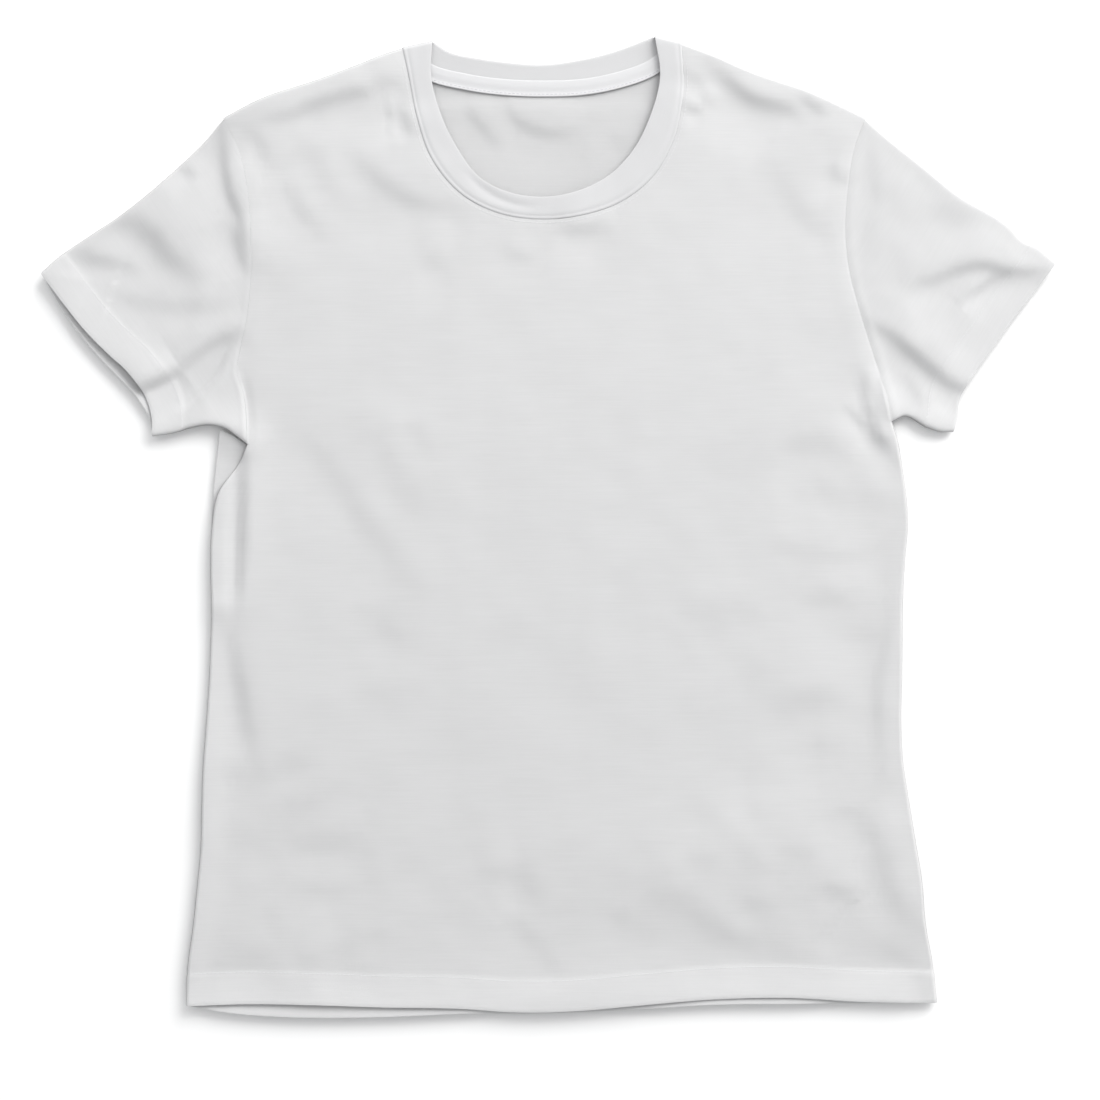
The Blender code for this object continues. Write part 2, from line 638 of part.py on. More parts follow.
def make_neck_tape():
    """The tape inside the back neck, flat over the seam of the band."""
    seam = along([row[:2] for row in BAND_BACK], np.linspace(*TAPE_ENDS, TAPE_COLUMNS + 1))
    plan = np.stack((moved_aside(seam, -TAPE_BELOW_SEAM), seam, moved_aside(seam, TAPE_ABOVE_SEAM)))
    middle = with_height(plan, np.full(plan.shape[:2], RIB + LAYER_GAP + TAPE / 2))
    make_wall("neck_tape", middle, np.full(plan.shape[:2], TAPE), WHITE_TAPE, np.zeros(middle.shape))


def main():
    for thing in list(bpy.data.objects):
        bpy.data.objects.remove(thing, do_unlink=True)
    make_back()
    make_front()
    make_sleeve("sleeve_left", LEFT_ARMHOLE, LEFT_CUFF, LEFT_CUFF_UNDER, LEFT_UNDERARM, LEFT_OVERARM, 1)
    make_sleeve("sleeve_right", RIGHT_ARMHOLE, RIGHT_CUFF, RIGHT_CUFF, RIGHT_UNDERARM, RIGHT_OVERARM, -1)
    make_neck_band()
    make_neck_tape()


main()
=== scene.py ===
"""Looks of the crew neck t-shirt: cloth, rib, sewing, creases, light and camera.

Every piece of cloth is a thin shell on the form of its solid, built again from the same
outlines with a finer grid, and with the smaller creases added. Sizes are millimetres as the
shirt lies, turned into metres when a mesh is made. +X is right, +Y is towards the neck.
"""

import math

import bpy
import numpy as np
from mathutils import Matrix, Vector


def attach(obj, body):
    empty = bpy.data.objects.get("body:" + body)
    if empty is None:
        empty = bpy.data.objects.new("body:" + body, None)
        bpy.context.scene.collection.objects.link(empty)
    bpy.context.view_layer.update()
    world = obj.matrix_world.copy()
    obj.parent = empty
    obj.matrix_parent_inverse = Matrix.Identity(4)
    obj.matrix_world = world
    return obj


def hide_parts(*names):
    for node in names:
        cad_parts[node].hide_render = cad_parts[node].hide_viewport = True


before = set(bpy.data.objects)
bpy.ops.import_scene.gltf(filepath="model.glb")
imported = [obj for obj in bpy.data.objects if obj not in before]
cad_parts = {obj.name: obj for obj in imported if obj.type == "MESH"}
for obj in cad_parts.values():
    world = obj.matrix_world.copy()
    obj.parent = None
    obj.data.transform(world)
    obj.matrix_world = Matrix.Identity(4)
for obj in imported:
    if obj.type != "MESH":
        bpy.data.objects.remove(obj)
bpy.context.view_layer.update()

MM = 0.001

# Cloth, millimetres.
JERSEY = 0.9
HEM_EXTRA = 0.45
HEM_DEPTH = 20.0
RIB = 2.0
TAPE = 0.7
TAPE_ABOVE_SEAM = 5.2
TAPE_BELOW_SEAM = 5.6
SEAM_GAP = 0.05
CORNER_GAP = 0.8
SOFT_EDGE = 0.45

# How the upper layer stands over the lower one.
LOFT = 4.8
CLEARANCE = 0.6
LANDING = 1.0
FOLD_ROOM = 0.5
RIB_FOLD_ROOM = 0.8
EDGE_ROLL = 1.7
UNDER_ROLL = 1.4

# Side seams from hem to underarm. The front lies a little inside the back.
LEFT_SIDE = (
    (-240.5, -318), (-240, -293), (-236.5, -266), (-233.8, -240), (-231.3, -213), (-230.7, -187),
    (-229.8, -160), (-227.9, -134), (-226, -107), (-224.8, -80), (-224.2, -54), (-224.8, -29),
    (-224, -2), (-222.5, 22), (-220.5, 42), (-218, 64.5),
)
RIGHT_SIDE = (
    (258, -316), (255.2, -290), (250.6, -263), (248.4, -236), (244, -209), (239.6, -182), (235.6, -155),
    (234.4, -128), (235, -102), (235.3, -75), (235.6, -49), (237, -22), (239, 4), (237.4, 24),
    (235, 40), (232.6, 55), (228, 69),
)
FRONT_INSET = 0.6
UNDERARM_TUCK = 16.8
TUCK_FROM = 12.0
TUCK_TO = 51.0

# Armhole seams from underarm to shoulder tip, shared by the panels and the sleeve.
LEFT_ARMHOLE = (
    (-200, 54), (-200.5, 72), (-202.5, 88), (-207, 103), (-205, 117), (-200.5, 138), (-198, 160),
    (-197.5, 190), (-199.5, 222), (-205, 248), (-216, 271),
)
RIGHT_ARMHOLE = (
    (228, 69), (224.5, 86), (219, 105), (212, 127), (205.5, 148), (200, 170), (197.5, 195), (199, 224),
    (203, 250), (210.5, 271.3),
)

# Shoulders from tip to neck.
LEFT_SHOULDER = (
    (-216, 271), (-192, 283.3), (-152, 296.8), (-124, 307.4), (-108, 314), (-97, 317.6),
)
RIGHT_SHOULDER = (
    (210.5, 271.3), (175, 288), (134, 302.2), (108, 313.6), (88.5, 321.2),
)

# Neck band, front half under the throat and back half behind it, left to right:
# where it is sewn on and where its free edge is.
#    seam x, seam y,   free x, free y
BAND_FRONT = (
    (-97, 317.6, -77, 322),
    (-92.5, 297, -78, 300),
    (-88, 274, -73.5, 280),
    (-77, 243, -62, 254),
    (-59, 221.5, -45, 231.5),
    (-33, 208, -26, 222),
    (-5, 204, -5, 219),
    (22, 206.5, 18, 222.5),
    (48, 215.5, 42, 235),
    (69, 232, 57, 251.5),
    (83, 256, 67.5, 273),
    (89.5, 290, 74, 299),
    (88.5, 321.2, 70.5, 325.5),
)
BAND_BACK = (
    (-97, 317.6, -77, 322),
    (-80, 303, -66, 315.3),
    (-55, 296, -48, 311.2),
    (-30, 292.5, -28, 308.4),
    (-4, 291.5, -4, 306.8),
    (22, 292.5, 21, 310),
    (46, 297, 42, 315),
    (68, 305, 58, 320.6),
    (88.5, 321.2, 70.5, 325.5),
)

# Lower edges from left to right. The back hem shows below the front one.
FRONT_HEM = (
    (-240.5, -317), (-200, -316), (-152, -317), (-112, -318.5), (-60, -319.5), (-20, -322), (20, -321),
    (60, -317.5), (110, -313.5), (160, -312.5), (205, -315), (257, -316),
)
BACK_HEM = (
    (-240.5, -318), (-210, -323), (-175, -325.5), (-110, -325.5), (-60, -323.5), (0, -323),
    (60, -320.5), (110, -317.5), (160, -317), (258, -316.5),
)

# Sleeves from the armhole outwards, and cuffs from the underarm to the top. The under
# layer of the left cuff shows past the upper one.
LEFT_OVERARM = (
    (-216, 271), (-228, 256), (-245, 239.5), (-266, 220.5), (-286, 205), (-305, 192.5), (-325, 178.5),
    (-336.5, 167.5),
)
LEFT_UNDERARM = (
    (-200, 54), (-206, 59.5), (-215, 65.5), (-226, 67.5), (-236, 66), (-249, 62.5), (-263, 60.5),
)
LEFT_CUFF = (
    (-263, 60.5), (-263, 70), (-266.5, 84), (-279, 102.5), (-292, 114.5), (-305.5, 128), (-321, 147),
    (-336.5, 167.5),
)
LEFT_CUFF_UNDER = (
    (-263, 60.5), (-265, 71), (-272.5, 84.5), (-284, 97.5), (-296.5, 110.5), (-308.5, 124),
    (-318.5, 137.5), (-336.5, 167.5),
)
RIGHT_OVERARM = (
    (210.5, 271.3), (220.5, 261.3), (247, 239.8), (273.5, 218.6), (300, 203), (307, 197.5),
    (313.5, 190), (324, 185), (336.5, 174.5),
)
RIGHT_UNDERARM = (
    (228, 69), (236, 73.5), (250.5, 66.5), (260, 63.5), (269, 63.5),
)
RIGHT_CUFF = (
    (269, 63.5), (271.4, 72), (272.8, 84), (279.8, 97.4), (289, 110.7), (298.8, 124), (308.2, 137.3),
    (318.6, 150.6), (336.5, 174.5),
)

# Broad swells of the upper layer.
#     x,     y,  radius, height
SWELLS = (
    (84, 300, 36, 0.5),
    (-70, 250, 45, 0.6),
    (-232, -20, 22, 0.8),
    (-308, 150, 42, 1.4),
    (300, 150, 45, 1.2),
    (-150, -300, 60, 0.9),
    (60, -300, 50, 0.8),
    (235, -250, 45, 0.7),
    (-185, 285, 26, 0.9),
    (175, 272, 30, 0.9),
    (0, 60, 120, 0.5),
    (-288, 112, 36, 2.2),
    (258, 80, 17, 1.8),
    (226, 82, 15, 1),
)

# Soft troughs, and ridges where the height is above 0. Bow is how far the middle lies to the
# left of the straight line from the start to the end.
#    start x, start y,  end x, end y,  bow, half width, height
TROUGHS = (
    (-207, 66, -210, -58, 1.5, 4, -1.4),
    (-217, 52, -217, -62, 2, 6, 0.9),
    (-205.5, 108, -199, 50, 3, 2.6, -1.5),
    (214, 106, 227, 50, -2.4, 3.3, 1.2),
    (-20, -222, 215, -215, 0, 36, 2.6),
    (-56, 236, -8, 212, -6, 3, -0.8),
)

# Edges that curl up off the ground: height and reach, then the points of the edge.
CURLS = (
    (3.6, 12, (-241, -322), (-231, -213), (-226, -107), (-224, -54)),
    (3.6, 19, (-224, -48), (-224, -29), (-221, 42), (-215, 62)),
    (4.6, 21, (-241, -322), (-110, -325), (0, -322), (110, -317), (230, -317)),
    (3.7, 20, (-263, 60), (-296, 110), (-318, 137), (-336, 167)),
    (4.2, 15, (-263, 60), (-226, 67), (-205, 58)),
    (3, 14, (231, 72), (250, 66), (269, 63)),
    (1.3, 14, (269, 63), (280, 97), (299, 124), (336, 174)),
    (3.4, 19, (257, -318), (240, -182), (235, -102), (239, 4), (232, 60)),
    (3, 20, (-205, 277), (-152, 297), (-124, 307)),
    (3.2, 20, (116, 310), (134, 302), (210, 271), (273, 218), (336, 175)),
    (2, 16, (-336, 167), (-290, 202), (-262, 224)),
)
CURL_BLEND = 4

# Edges where the upper layer comes down on the lower one: the share of its height that is
# left there, then the points of the edge.
SETTLED = (
    (0, (258, -316), (240, -182), (235, -102), (239, 4), (228, 69)),
    (0.38, (-241, -318), (-110, -319), (0, -322), (110, -314), (258, -316)),
    (0.38, (-216, 271), (-152, 297), (-124, 307)),
    (0.1, (116, 310), (134, 302), (210, 271), (273, 218), (336, 175)),
    (0.2, (336, 175), (289, 111), (269, 63)),
    (0.38, (-336, 167), (-266, 220), (-216, 271)),
    (0.38, (-336, 167), (-292, 114), (-263, 60)),
)
SETTLED_REACH = 16.0
FOLD_ENDS = 0.7

# Creases: the ground is higher on the left of each line and lower on its right. The lines
# were first read off the photo. Scripts that compared the photo with renders then
# reset half widths and rises and moved some lines, so this table is partly program-made.
#   half width, rise, then the points of the line
CREASES = (
    # Left sleeve.
    (3.1, 2.05, (-218, 277), (-216, 250), (-212, 224), (-205, 204), (-200, 181)),
    (4.1, 1.95, (-211, 205), (-205, 184), (-201, 166)),
    (7.5, 3.05, (-306, 197), (-285, 201), (-272, 199), (-262, 191), (-252, 179), (-242, 171), (-223, 163)),
    (5, 1.8, (-319, 185), (-302, 177), (-288, 175), (-269, 169)),
    (6.4, 1.25, (-306, 163), (-275, 149), (-198, 149)),
    (4.5, 2.6, (-259, 96), (-246, 104), (-235, 113), (-222, 122), (-210, 128), (-199, 132)),
    (4, 4, (-280, 85), (-265, 93), (-255, 98), (-244, 105)),
    (3.2, 1, (-247, 241), (-232, 231)),
    (2.2, 2, (-207, 123), (-211, 118), (-219, 103), (-229, 90), (-246, 74)),
    # Left side, beside the underarm.
    (2.6, 2.65, (-201, 66), (-202, 44), (-204, -22), (-207, -70)),
    # Right sleeve.
    (3.9, 2.2, (234, 157), (260, 165), (274, 171), (290, 173), (304, 170), (334, 171)),
    (2.2, 1.7, (273, 145), (279, 152), (291, 162), (305, 172)),
    (4.6, 2.9, (205, 139), (227, 127), (240, 116), (254, 104), (267, 94), (276, 90), (300, 77)),
    (4.6, 0.85, (209, 274), (215, 244), (217, 217), (213, 194), (204, 164)),
    (9.5, 1.75, (253, 214), (288, 200)),
    (5, 1.1, (237, 104), (248, 78)),
    # Right underarm.
    (2.4, 1.9, (210, 109), (210, 91), (211, 81), (215, 71), (219, 61), (226, 50), (239, 30)),
    (1.7, 1.9, (219.6, 101), (220.6, 86), (222.6, 75), (227, 62)),
    (1.8, 1.2, (196, 83), (206, 71), (213, 63), (219, 57), (226, 51)),
    # Shoulders.
    (4.8, 2.55, (-202, 270), (-172, 273), (-158, 279), (-145, 283), (-132, 287), (-121, 289), (-112, 295),
     (-92, 291)),
    (4.5, 2.45, (102, 312), (121, 294), (134, 284), (147, 280), (161, 276), (170, 264)),
    (3.1, 1.1, (164, 289), (177, 278), (187, 272)),
    # Chest, left.
    (6.1, 1.65, (-210, 273), (-193, 256), (-184, 235)),
    (4.6, 0.95, (-176, 232), (-164, 209), (-147, 188)),
    (6.7, 0.75, (-170, 265), (-153, 240), (-145, 224), (-130, 199)),
    (6.4, 1.4, (-139, 251), (-114, 231), (-98, 220), (-79, 213), (-49, 207)),
    (3.9, 1.6, (-98, 280), (-90, 257)),
    # Chest, right.
    (7.1, 1, (145, 247), (163, 216), (173, 203), (194, 190)),
    (5.3, 1.3, (185, 242), (199, 225)),
    (6, 1.3, (104, 297), (97, 283)),
    (2.1, 1.2, (89, 277), (103, 277)),
    # Chest, middle.
    (5.5, 1.5, (3, 196), (46, 198)),
    (4.7, 0.65, (-35, 185), (-9, 176)),
    (9.5, 1.35, (-88, 175), (-63, 175)),
    # Body, left.
    (7.3, 0.9, (-168, 83), (-158, 58), (-144, 38), (-118, -2), (-91, -39), (-76, -55)),
    (8.5, 1.05, (-134, 80), (-111, 52), (-97, 29), (-75, -6)),
    (5.8, 0.75, (-95, 75), (-71, 40)),
    (8.2, 1, (-132, -48), (-87, -86)),
    (9.5, 0.3, (-168, -56), (-125, -91)),
    (6.4, 0.45, (-131, -103), (-92, -127)),
    (5.5, 2.2, (-226, -48), (-212, -72), (-208, -89), (-203, -115), (-199, -139), (-190, -169)),
    (6.1, 0.65, (-223, -166), (-170, -166)),
    (5.9, 0.5, (-181, -150), (-157, -165)),
    (6.6, 0.65, (-193, -199), (-159, -182), (-123, -169)),
    (8.9, 0.55, (-214, -217), (-170, -202)),
    (7.9, 1.5, (-176, -210), (-145, -210), (-118, -203)),
    (6.5, 0.7, (-178, -241), (-126, -243)),
    (2.2, 0.15, (-147, -273), (-94, -269)),
    (8.6, 1.15, (-224, -297), (-180, -282)),
    (9.3, 1.2, (-161, -298), (-132, -274)),
    # Body, middle.
    (9.5, 1.15, (-39, -239), (-15, -224)),
    (5.5, 0.55, (-23, -258), (-8, -282)),
    (5.2, 0.55, (-5, -280), (9, -304)),
    # Body, right.
    (9.5, 1.45, (142, 21), (152, 43), (162, 52), (174, 54), (210, 46)),
    (8.1, 0.75, (154, 29), (199, 16)),
    (9.5, 0.85, (202, 19), (233, 12)),
    (5, 0.5, (134, -10), (167, -17), (200, -19), (223, -11)),
    (7.2, 0.95, (160, -49), (187, -50), (217, -45)),
    (7.1, 0.55, (176, -68), (229, -73)),
    (9.1, 0.9, (92, -69), (137, -48)),
    (4.9, 0.15, (119, -94), (149, -95)),
    (9.5, 1.5, (136, -128), (161, -119), (177, -114), (202, -118)),
    (9.5, 0.55, (155, -147), (199, -147)),
    (3.6, 1.45, (226, -9), (227, -49), (225, -75), (220, -95), (218, -115), (219, -142), (220, -175)),
    (7.6, 1.35, (209, -183), (214, -207), (221, -226)),
    (9, 1.95, (200, -221), (221, -227), (228, -242), (235, -254), (245, -267), (259, -285)),
    (7.4, 0.55, (90, -175), (107, -195), (121, -209)),
    (8, 0.9, (112, -199), (131, -219), (150, -236)),
    (7.9, 0.65, (127, -181), (157, -205)),
    (6.7, 0.5, (154, -210), (183, -225)),
    (9.2, 1.35, (57, -225), (74, -242), (94, -256), (114, -270), (161, -285), (197, -295)),
    (7.7, 0.5, (86, -216), (115, -227)),
    (9.1, 1.05, (123, -250), (152, -250)),
    (5.4, 0.85, (179, -240), (208, -244)),
    (8, 0.75, (35, -250), (78, -278)),
    (9.5, 1.65, (186, -283), (214, -283), (233, -286), (253, -296)),
)

# The same on the back panel, where it shows inside the neck and on its underside.
BACK_CREASES = (
    (4.5, 1.5, (-30, 288), (-20, 270), (-2, 262), (26, 264)),
    (4, 1, (-56, 284), (-46, 267), (-29, 250)),
    (6, 0.6, (40, 262), (55, 250)),
    (9, 0.3, (-180, 150), (-120, 60), (-80, -40)),
    (10, 0.3, (120, 120), (160, 40), (175, -60)),
    (9, 0.3, (-60, -120), (10, -190), (60, -260)),
    (8, 0.3, (-195, -200), (-130, -225), (-70, -230)),
    (8, 0.3, (60, 60), (20, -20), (-30, -60)),
    (8, 0.3, (205, -150), (180, -210), (165, -275)),
)

# Loose cloth is never quite level: waves of many lengths and ways, added up.
WAVE_SEED = 7
WAVE_COUNT = 48
WAVE_LENGTHS = (16.0, 110.0)
WAVE_SLOPE = 0.0042

# How the grids are spaced: where an edge passes a corner, as a fraction of it, then steps
# and counts.
UNDERARM_AT = 0.62
HEM_STEPS = (0.0, 0.25, 0.9, 2.5, 5.0, 7.5, 10.0, 12.5, 15.0, 17.0, 18.5, 20.0, 21.5, 23.0)
TRIAL_SHARE = 0.04
FRONT_SIDE_ROWS = 140
FRONT_SHOULDER_COLUMNS = 44
BACK_SIDE_ROWS = 96
BACK_SHOULDER_COLUMNS = 28
BACK_ARMHOLE_STEPS = 60
ARMHOLE_STEPS = 84
NECK_STEPS = 110
STRAP_STEPS = 36
SLEEVE_ROWS = 46
BAND_STEPS = (0.0, 0.25, 0.8, 1.3, 1.9, 2.7, 3.6)
BAND_ROWS = 8
TAPE_COLUMNS = 90
TAPE_ENDS = (0.075, 0.925)
ARMHOLE_LENGTH = 225.0
NECK_LENGTH = 290.0
SHOULDER_LENGTH = 128.0
ROLL_TURNS = (0.0, 15.0, 30.0, 45.0, 60.0, 75.0, 90.0)
NO_TURNS = (0.0,)
SIDE_FADE = 4
END_FADE = 2
SHARP_ANGLE = math.radians(60)
LINE_STEP = 5.0
CREASE_REACH = 2.2
CREASE_RELAX = 6.0
RELAX_SHARE = 0.45

# Corner of the back panel that shows under the left sleeve: a ledge beside the underarm.
LEFT_LEDGE = ((-218.0, 64.5), (-209.5, 60.4))

# Rounded edges, seams and sewing.
EDGE_SHARE = 0.35
BAND_SOFTER = 1.1
BAND_SEAM_SHARE = 0.7
BAND_SEAM_WIDTH = 3.0
BAND_SUNK = 0.5
BAND_SUNK_WIDTH = 5.0
HEM_SLOPE = 1.5
LIP = 1.1
LIP_REACH = 3.5
LIP_SHOWS = (1.5, 4.5)
LIP_POINTS = 120
HEM_RIDGE = 0.12
CUFF_RIDGE = 0.02
HEM_RIDGE_WIDTH = 1.7
GROOVE_WIDTH = 1.4
#                  groove, ridge, ridge at, ridge width
FRONT_LEFT_SEAM = (0.08, 0.10, 6.0, 3.0)
FRONT_RIGHT_SEAM = (0.3, 0.30, 8.0, 5.0)
FRONT_NECK_SEAM = (0.15, 0.1, 5.0, 2.5)
LEFT_SLEEVE_SEAM = (0.08, 0.14, 2.4, 1.6)
RIGHT_SLEEVE_SEAM = (0.3, 0.15, 4.0, 2.2)
PIPING = 0.2
PIPING_AT = 1.1
PIPING_WIDTH = 0.75
BAND_HOLLOW = 0.12
BAND_HOLLOW_AT = 2.75
BAND_DROOP = 0.15
BAND_DROOP_WIDTH = 5.0
# Painted shade on the back inside the neck opening: how far its layers value drops there.
NECK_HOLE_PAINTED_SHADE = 1.4
NECK_RISES = (170.0, 205.0)
NECK_SPREADS = (-130.0, -95.0)
NECK_TOP = (-288.0, -276.0)
BACK_HIGHEST = 0.35
NECK_REST = 1.0
NECK_HIGHEST = 1.8
LAYER_GAP = 0.15
TAPE_STEPS = (-5.6, -5.3, -4.9, -4.4, -3.9, -3.4, -2.5, -1.5, 0.0, 1.5, 3.0, 4.2, 4.8, 5.2)
TAPE_BOUND = 1.6
TAPE_BOUND_EDGE = 0.3
TAPE_BOUND_EXTRA = 0.6
TAPE_FALL = 0.5
TAPE_FALLS = (-1.5, 3.0)
STITCH_LENGTH = 2.0
STITCH_WIDTH = 0.42
STITCH_SIDES = 6
#                  along, fatness
STITCH_PROFILE = ((-1.0, 0.05), (-0.8, 0.75), (-0.3, 1.0), (0.3, 1.0), (0.8, 0.75), (1.0, 0.05))
STITCH_PITCH = 2.8
SEWN_SHARE = 0.996
SEWN_STEPS = 160
NECK_STITCH_AT = 2.4
NECK_SEWN = (0.03, 0.97)
TAPE_STITCH_AT = -3.9
RAY_FROM = 60.0

# Finish. Colours are linear.
WHITE_JERSEY = (0.624, 0.624, 0.628)
# The sleeves use the body's jersey painted a little lighter: painted light.
WHITE_SLEEVE_PAINTED_LIGHT = (0.634, 0.634, 0.638)
WHITE_RIB = (0.590, 0.590, 0.597)
WHITE_TAPE = (0.668, 0.668, 0.678)
THREAD = (0.66, 0.66, 0.67)
# Thread on the tape, painted darker than the tape: painted shade of its sunk stitches.
TAPE_THREAD_PAINTED_SHADE = (0.50, 0.50, 0.53)
# Tone for each layer: turned-up hems lighter, and painted shade on the back inside the neck opening.
LAYERS_AND_PAINTED_SHADE_GAIN = 0.05
CUFF_LAYERS = 0.4
# Edges that turn down get painted shade: how far they must turn, and the tone of the painted shade.
EDGE_TURNED = (0.3, 0.75)
EDGE_PAINTED_SHADE = 0.55
FLOOR = (0.96, 0.96, 0.96)
STREAK_SCALE = (36.0, 1150.0, 1.0)
WIDE_STREAK_SCALE = (9.0, 320.0, 1.0)
WIDE_STREAK_SHARE = 0.35
CLOUD_SCALE = 28.0
CLOUD_GAIN = 0.02
EVEN = (1.0, 1.0, 1.0)
NOISE_ROUGHNESS = 0.55
# Knits, metres: strength of the streaks, width of a wale, height of a course, depth of the
# bumps, sheen.
JERSEY_KNIT = (0.085, 0.00051, 0.00043, 0.00008, 0.1)
SLEEVE_KNIT = (0.07, 0.00051, 0.00043, 0.00008, 0.1)
RIB_KNIT = (0.03, 0.00052, 0.00044, 0.00004, 0.1)
TAPE_KNIT = (0.03, 0.00055, 0.00045, 0.00006, 0.05)
# Shares of the bumps' depth, and how far a course dips in a wale, as a share of the course.
WALE_DEPTH = 0.5
COURSE_DEPTH = 0.35
FUZZ_DEPTH = 0.8
FUZZ_SCALE = 1500.0
COURSE_DIP = 0.25
CLOTH_ROUGHNESS = 0.88
CLOTH_SPECULAR = 0.25
SHEEN_ROUGHNESS = 0.5
THREAD_ROUGHNESS = 0.6
THREAD_SCALE = 900.0
THREAD_GAIN = 0.1

# Light and camera. Lights: name, degrees round, degrees up, metres away, size, watts, colour.
LIGHTS = (
    ("key", 53.0, 29.0, 3.8, 2.85, 171.0, (1.0, 0.995, 0.985)),
    ("soft_top", 100.0, 50.0, 2.4, 2.4, 13.5, (1.0, 1.0, 1.0)),
)
ROOM = (0.985, 0.992, 1.0)
ROOM_STRENGTH = 0.637
FLOOR_SIZE = 8.0
FLOOR_HEIGHT = -0.0002
LENS = 85.0
SENSOR = 36.0
FRAME_WIDTH = 731.5
FRAME_HEIGHT = 3.0
FRAME_CENTRE = (1.0, -15.6)


# --- Outlines and grids -----------------------------------------------------------------

def lengths(vectors):
    """The length of each vector of an array."""
    return np.linalg.norm(vectors, axis=-1)


def unit(vectors):
    """The same directions with a length of 1."""
    return vectors / lengths(vectors)[..., None]


def between(start, end, share):
    """The start where the share is 0, the end where it is 1."""
    return (1 - share) * start + share * end


def bell(distance, width):
    """1 at no distance, falling smoothly towards 0 past the width."""
    return np.exp(-((distance / width) ** 2))


def smooth_step(value, low, high):
    """0 below low, 1 above high, and an S curve between them."""
    share = ((value - low) / (high - low)).clip(0, 1)
    return share * share * (3 - 2 * share)


def run_of(points):
    """Each point's distance from the first one, along the chords between them."""
    return np.concatenate(([0.0], np.cumsum(lengths(np.diff(np.array(points), axis=0)))))


def widened(column, count):
    """A column of numbers repeated side by side."""
    return np.repeat(column.reshape(-1, 1), count, axis=1)


def along(points, fractions):
    """Points at fractions of the length of a smooth curve through the given points."""
    points = np.array(points, dtype=float)
    knots = run_of(points)
    chords = np.diff(knots)
    slopes = np.gradient(points, knots, axis=0)
    at = np.asarray(fractions, dtype=float) * knots[-1]
    span = np.clip(np.searchsorted(knots, at, side="right") - 1, 0, len(chords) - 1)
    length = chords[span][:, None]
    u = ((at - knots[span]) / chords[span])[:, None]
    start = (1 + 2 * u) * (1 - u) ** 2 * points[span]
    end = u * u * (3 - 2 * u) * points[span + 1]
    leave = u * (1 - u) ** 2 * length * slopes[span]
    arrive = u * u * (u - 1) * length * slopes[span + 1]
    return start + end + leave + arrive


def along_joined(curves, corners, fractions):
    """The same for several curves end to end, which meet at the fractions in corners."""
    fractions = np.asarray(fractions, dtype=float)
    limits = (0.0, *corners, 1.0)
    result = np.zeros((len(fractions), 2))
    for curve, low, high in zip(curves, limits[:-1], limits[1:]):
        inside = (fractions >= low) & (fractions <= high)
        result[inside] = along(curve, (fractions[inside] - low) / (high - low))
    return result


def square_to(chain):
    """Level unit vectors to the right of the way a chain of plan points runs."""
    way = unit(np.gradient(chain, axis=0))
    return np.stack((way[:, 1], -way[:, 0], np.zeros(len(chain))), axis=1)


def moved_aside(points, distance):
    """A row of plan points moved to the left of the way it runs."""
    return points - distance * square_to(points)[:, :2]


def patch(left, right, bottom, top, across, up, side_fade=1, end_fade=1):
    """A grid of plan points that spans four edges: rows go up, columns go across.

    The sides hold a point for each place in the grid, the ends a point for each column, and
    up holds each place's fraction of the way from the bottom to the top. Between the four
    corners the grid is even, and an edge's departure from straight fades away from it.
    """
    s = across[None, :, None]
    t = up[..., None]
    low = between(bottom[0], bottom[-1], s)
    high = between(top[0], top[-1], s)
    left_bend = left - between(bottom[0], top[0], t)
    right_bend = right - between(bottom[-1], top[-1], t)
    sides = (1 - s) ** side_fade * left_bend + s ** side_fade * right_bend
    ends = (1 - t) ** end_fade * (bottom - low) + t ** end_fade * (top - high)
    return between(low, high, t) + sides + ends


def nearest_on(plan, chain):
    """How far each plan point is to the left of a chain of points, and its share of the way along."""
    chain = np.array(chain, dtype=float)
    side = np.full(plan.shape[:-1], np.inf)
    share = np.zeros(plan.shape[:-1])
    for number, (start, end) in enumerate(zip(chain[:-1], chain[1:])):
        way = end - start
        from_start = plan - start
        reach = np.clip((from_start @ way) / (way @ way), 0, 1)
        gap = lengths(from_start - reach[..., None] * way)
        closer = gap < np.abs(side)
        left = way[0] * from_start[..., 1] - way[1] * from_start[..., 0]
        side[closer] = np.where(left > 0, gap, -gap)[closer]
        share[closer] = (number + reach[closer]) / (len(chain) - 1)
    return side, share


def distance_to(plan, chains):
    """How far each plan point is from the nearest of several chains of points."""
    return np.min([np.abs(nearest_on(plan, chain)[0]) for chain in chains], axis=0)


def quarter_round(share):
    """Height of a quarter circle from its foot at 0 to its crown at 1 and beyond."""
    return np.sqrt(1 - (1 - np.clip(share, 0, 1)) ** 2)


def fold_height(plan, fold):
    """One soft trough or ridge along a bowed line, fading out at both ends."""
    start_x, start_y, end_x, end_y, bow, half_width, height = fold
    way = np.array((end_x - start_x, end_y - start_y))
    length = np.linalg.norm(way)
    way = way / length
    from_start = plan - np.array((start_x, start_y))
    share = np.clip(from_start @ way / length, 0, 1)
    side = from_start @ np.array((-way[1], way[0])) - bow * 4 * share * (1 - share)
    return height * bell(side, half_width) * np.sin(math.pi * share) ** FOLD_ENDS


def spaced(length, count, last_turns=ROLL_TURNS):
    """Fractions of an edge: even steps between those of the rolled edges at its two ends.

    A rolled edge's steps are given as turns, from 0 at its foot to 90 degrees at its crown.
    """
    first = EDGE_ROLL * (1 - np.cos(np.radians(ROLL_TURNS))) / length
    last = 1 - EDGE_ROLL * (1 - np.cos(np.radians(last_turns[::-1]))) / length
    middle = np.linspace(first[-1], last[0], count + 1)[1:-1]
    return np.concatenate((first, middle, last))


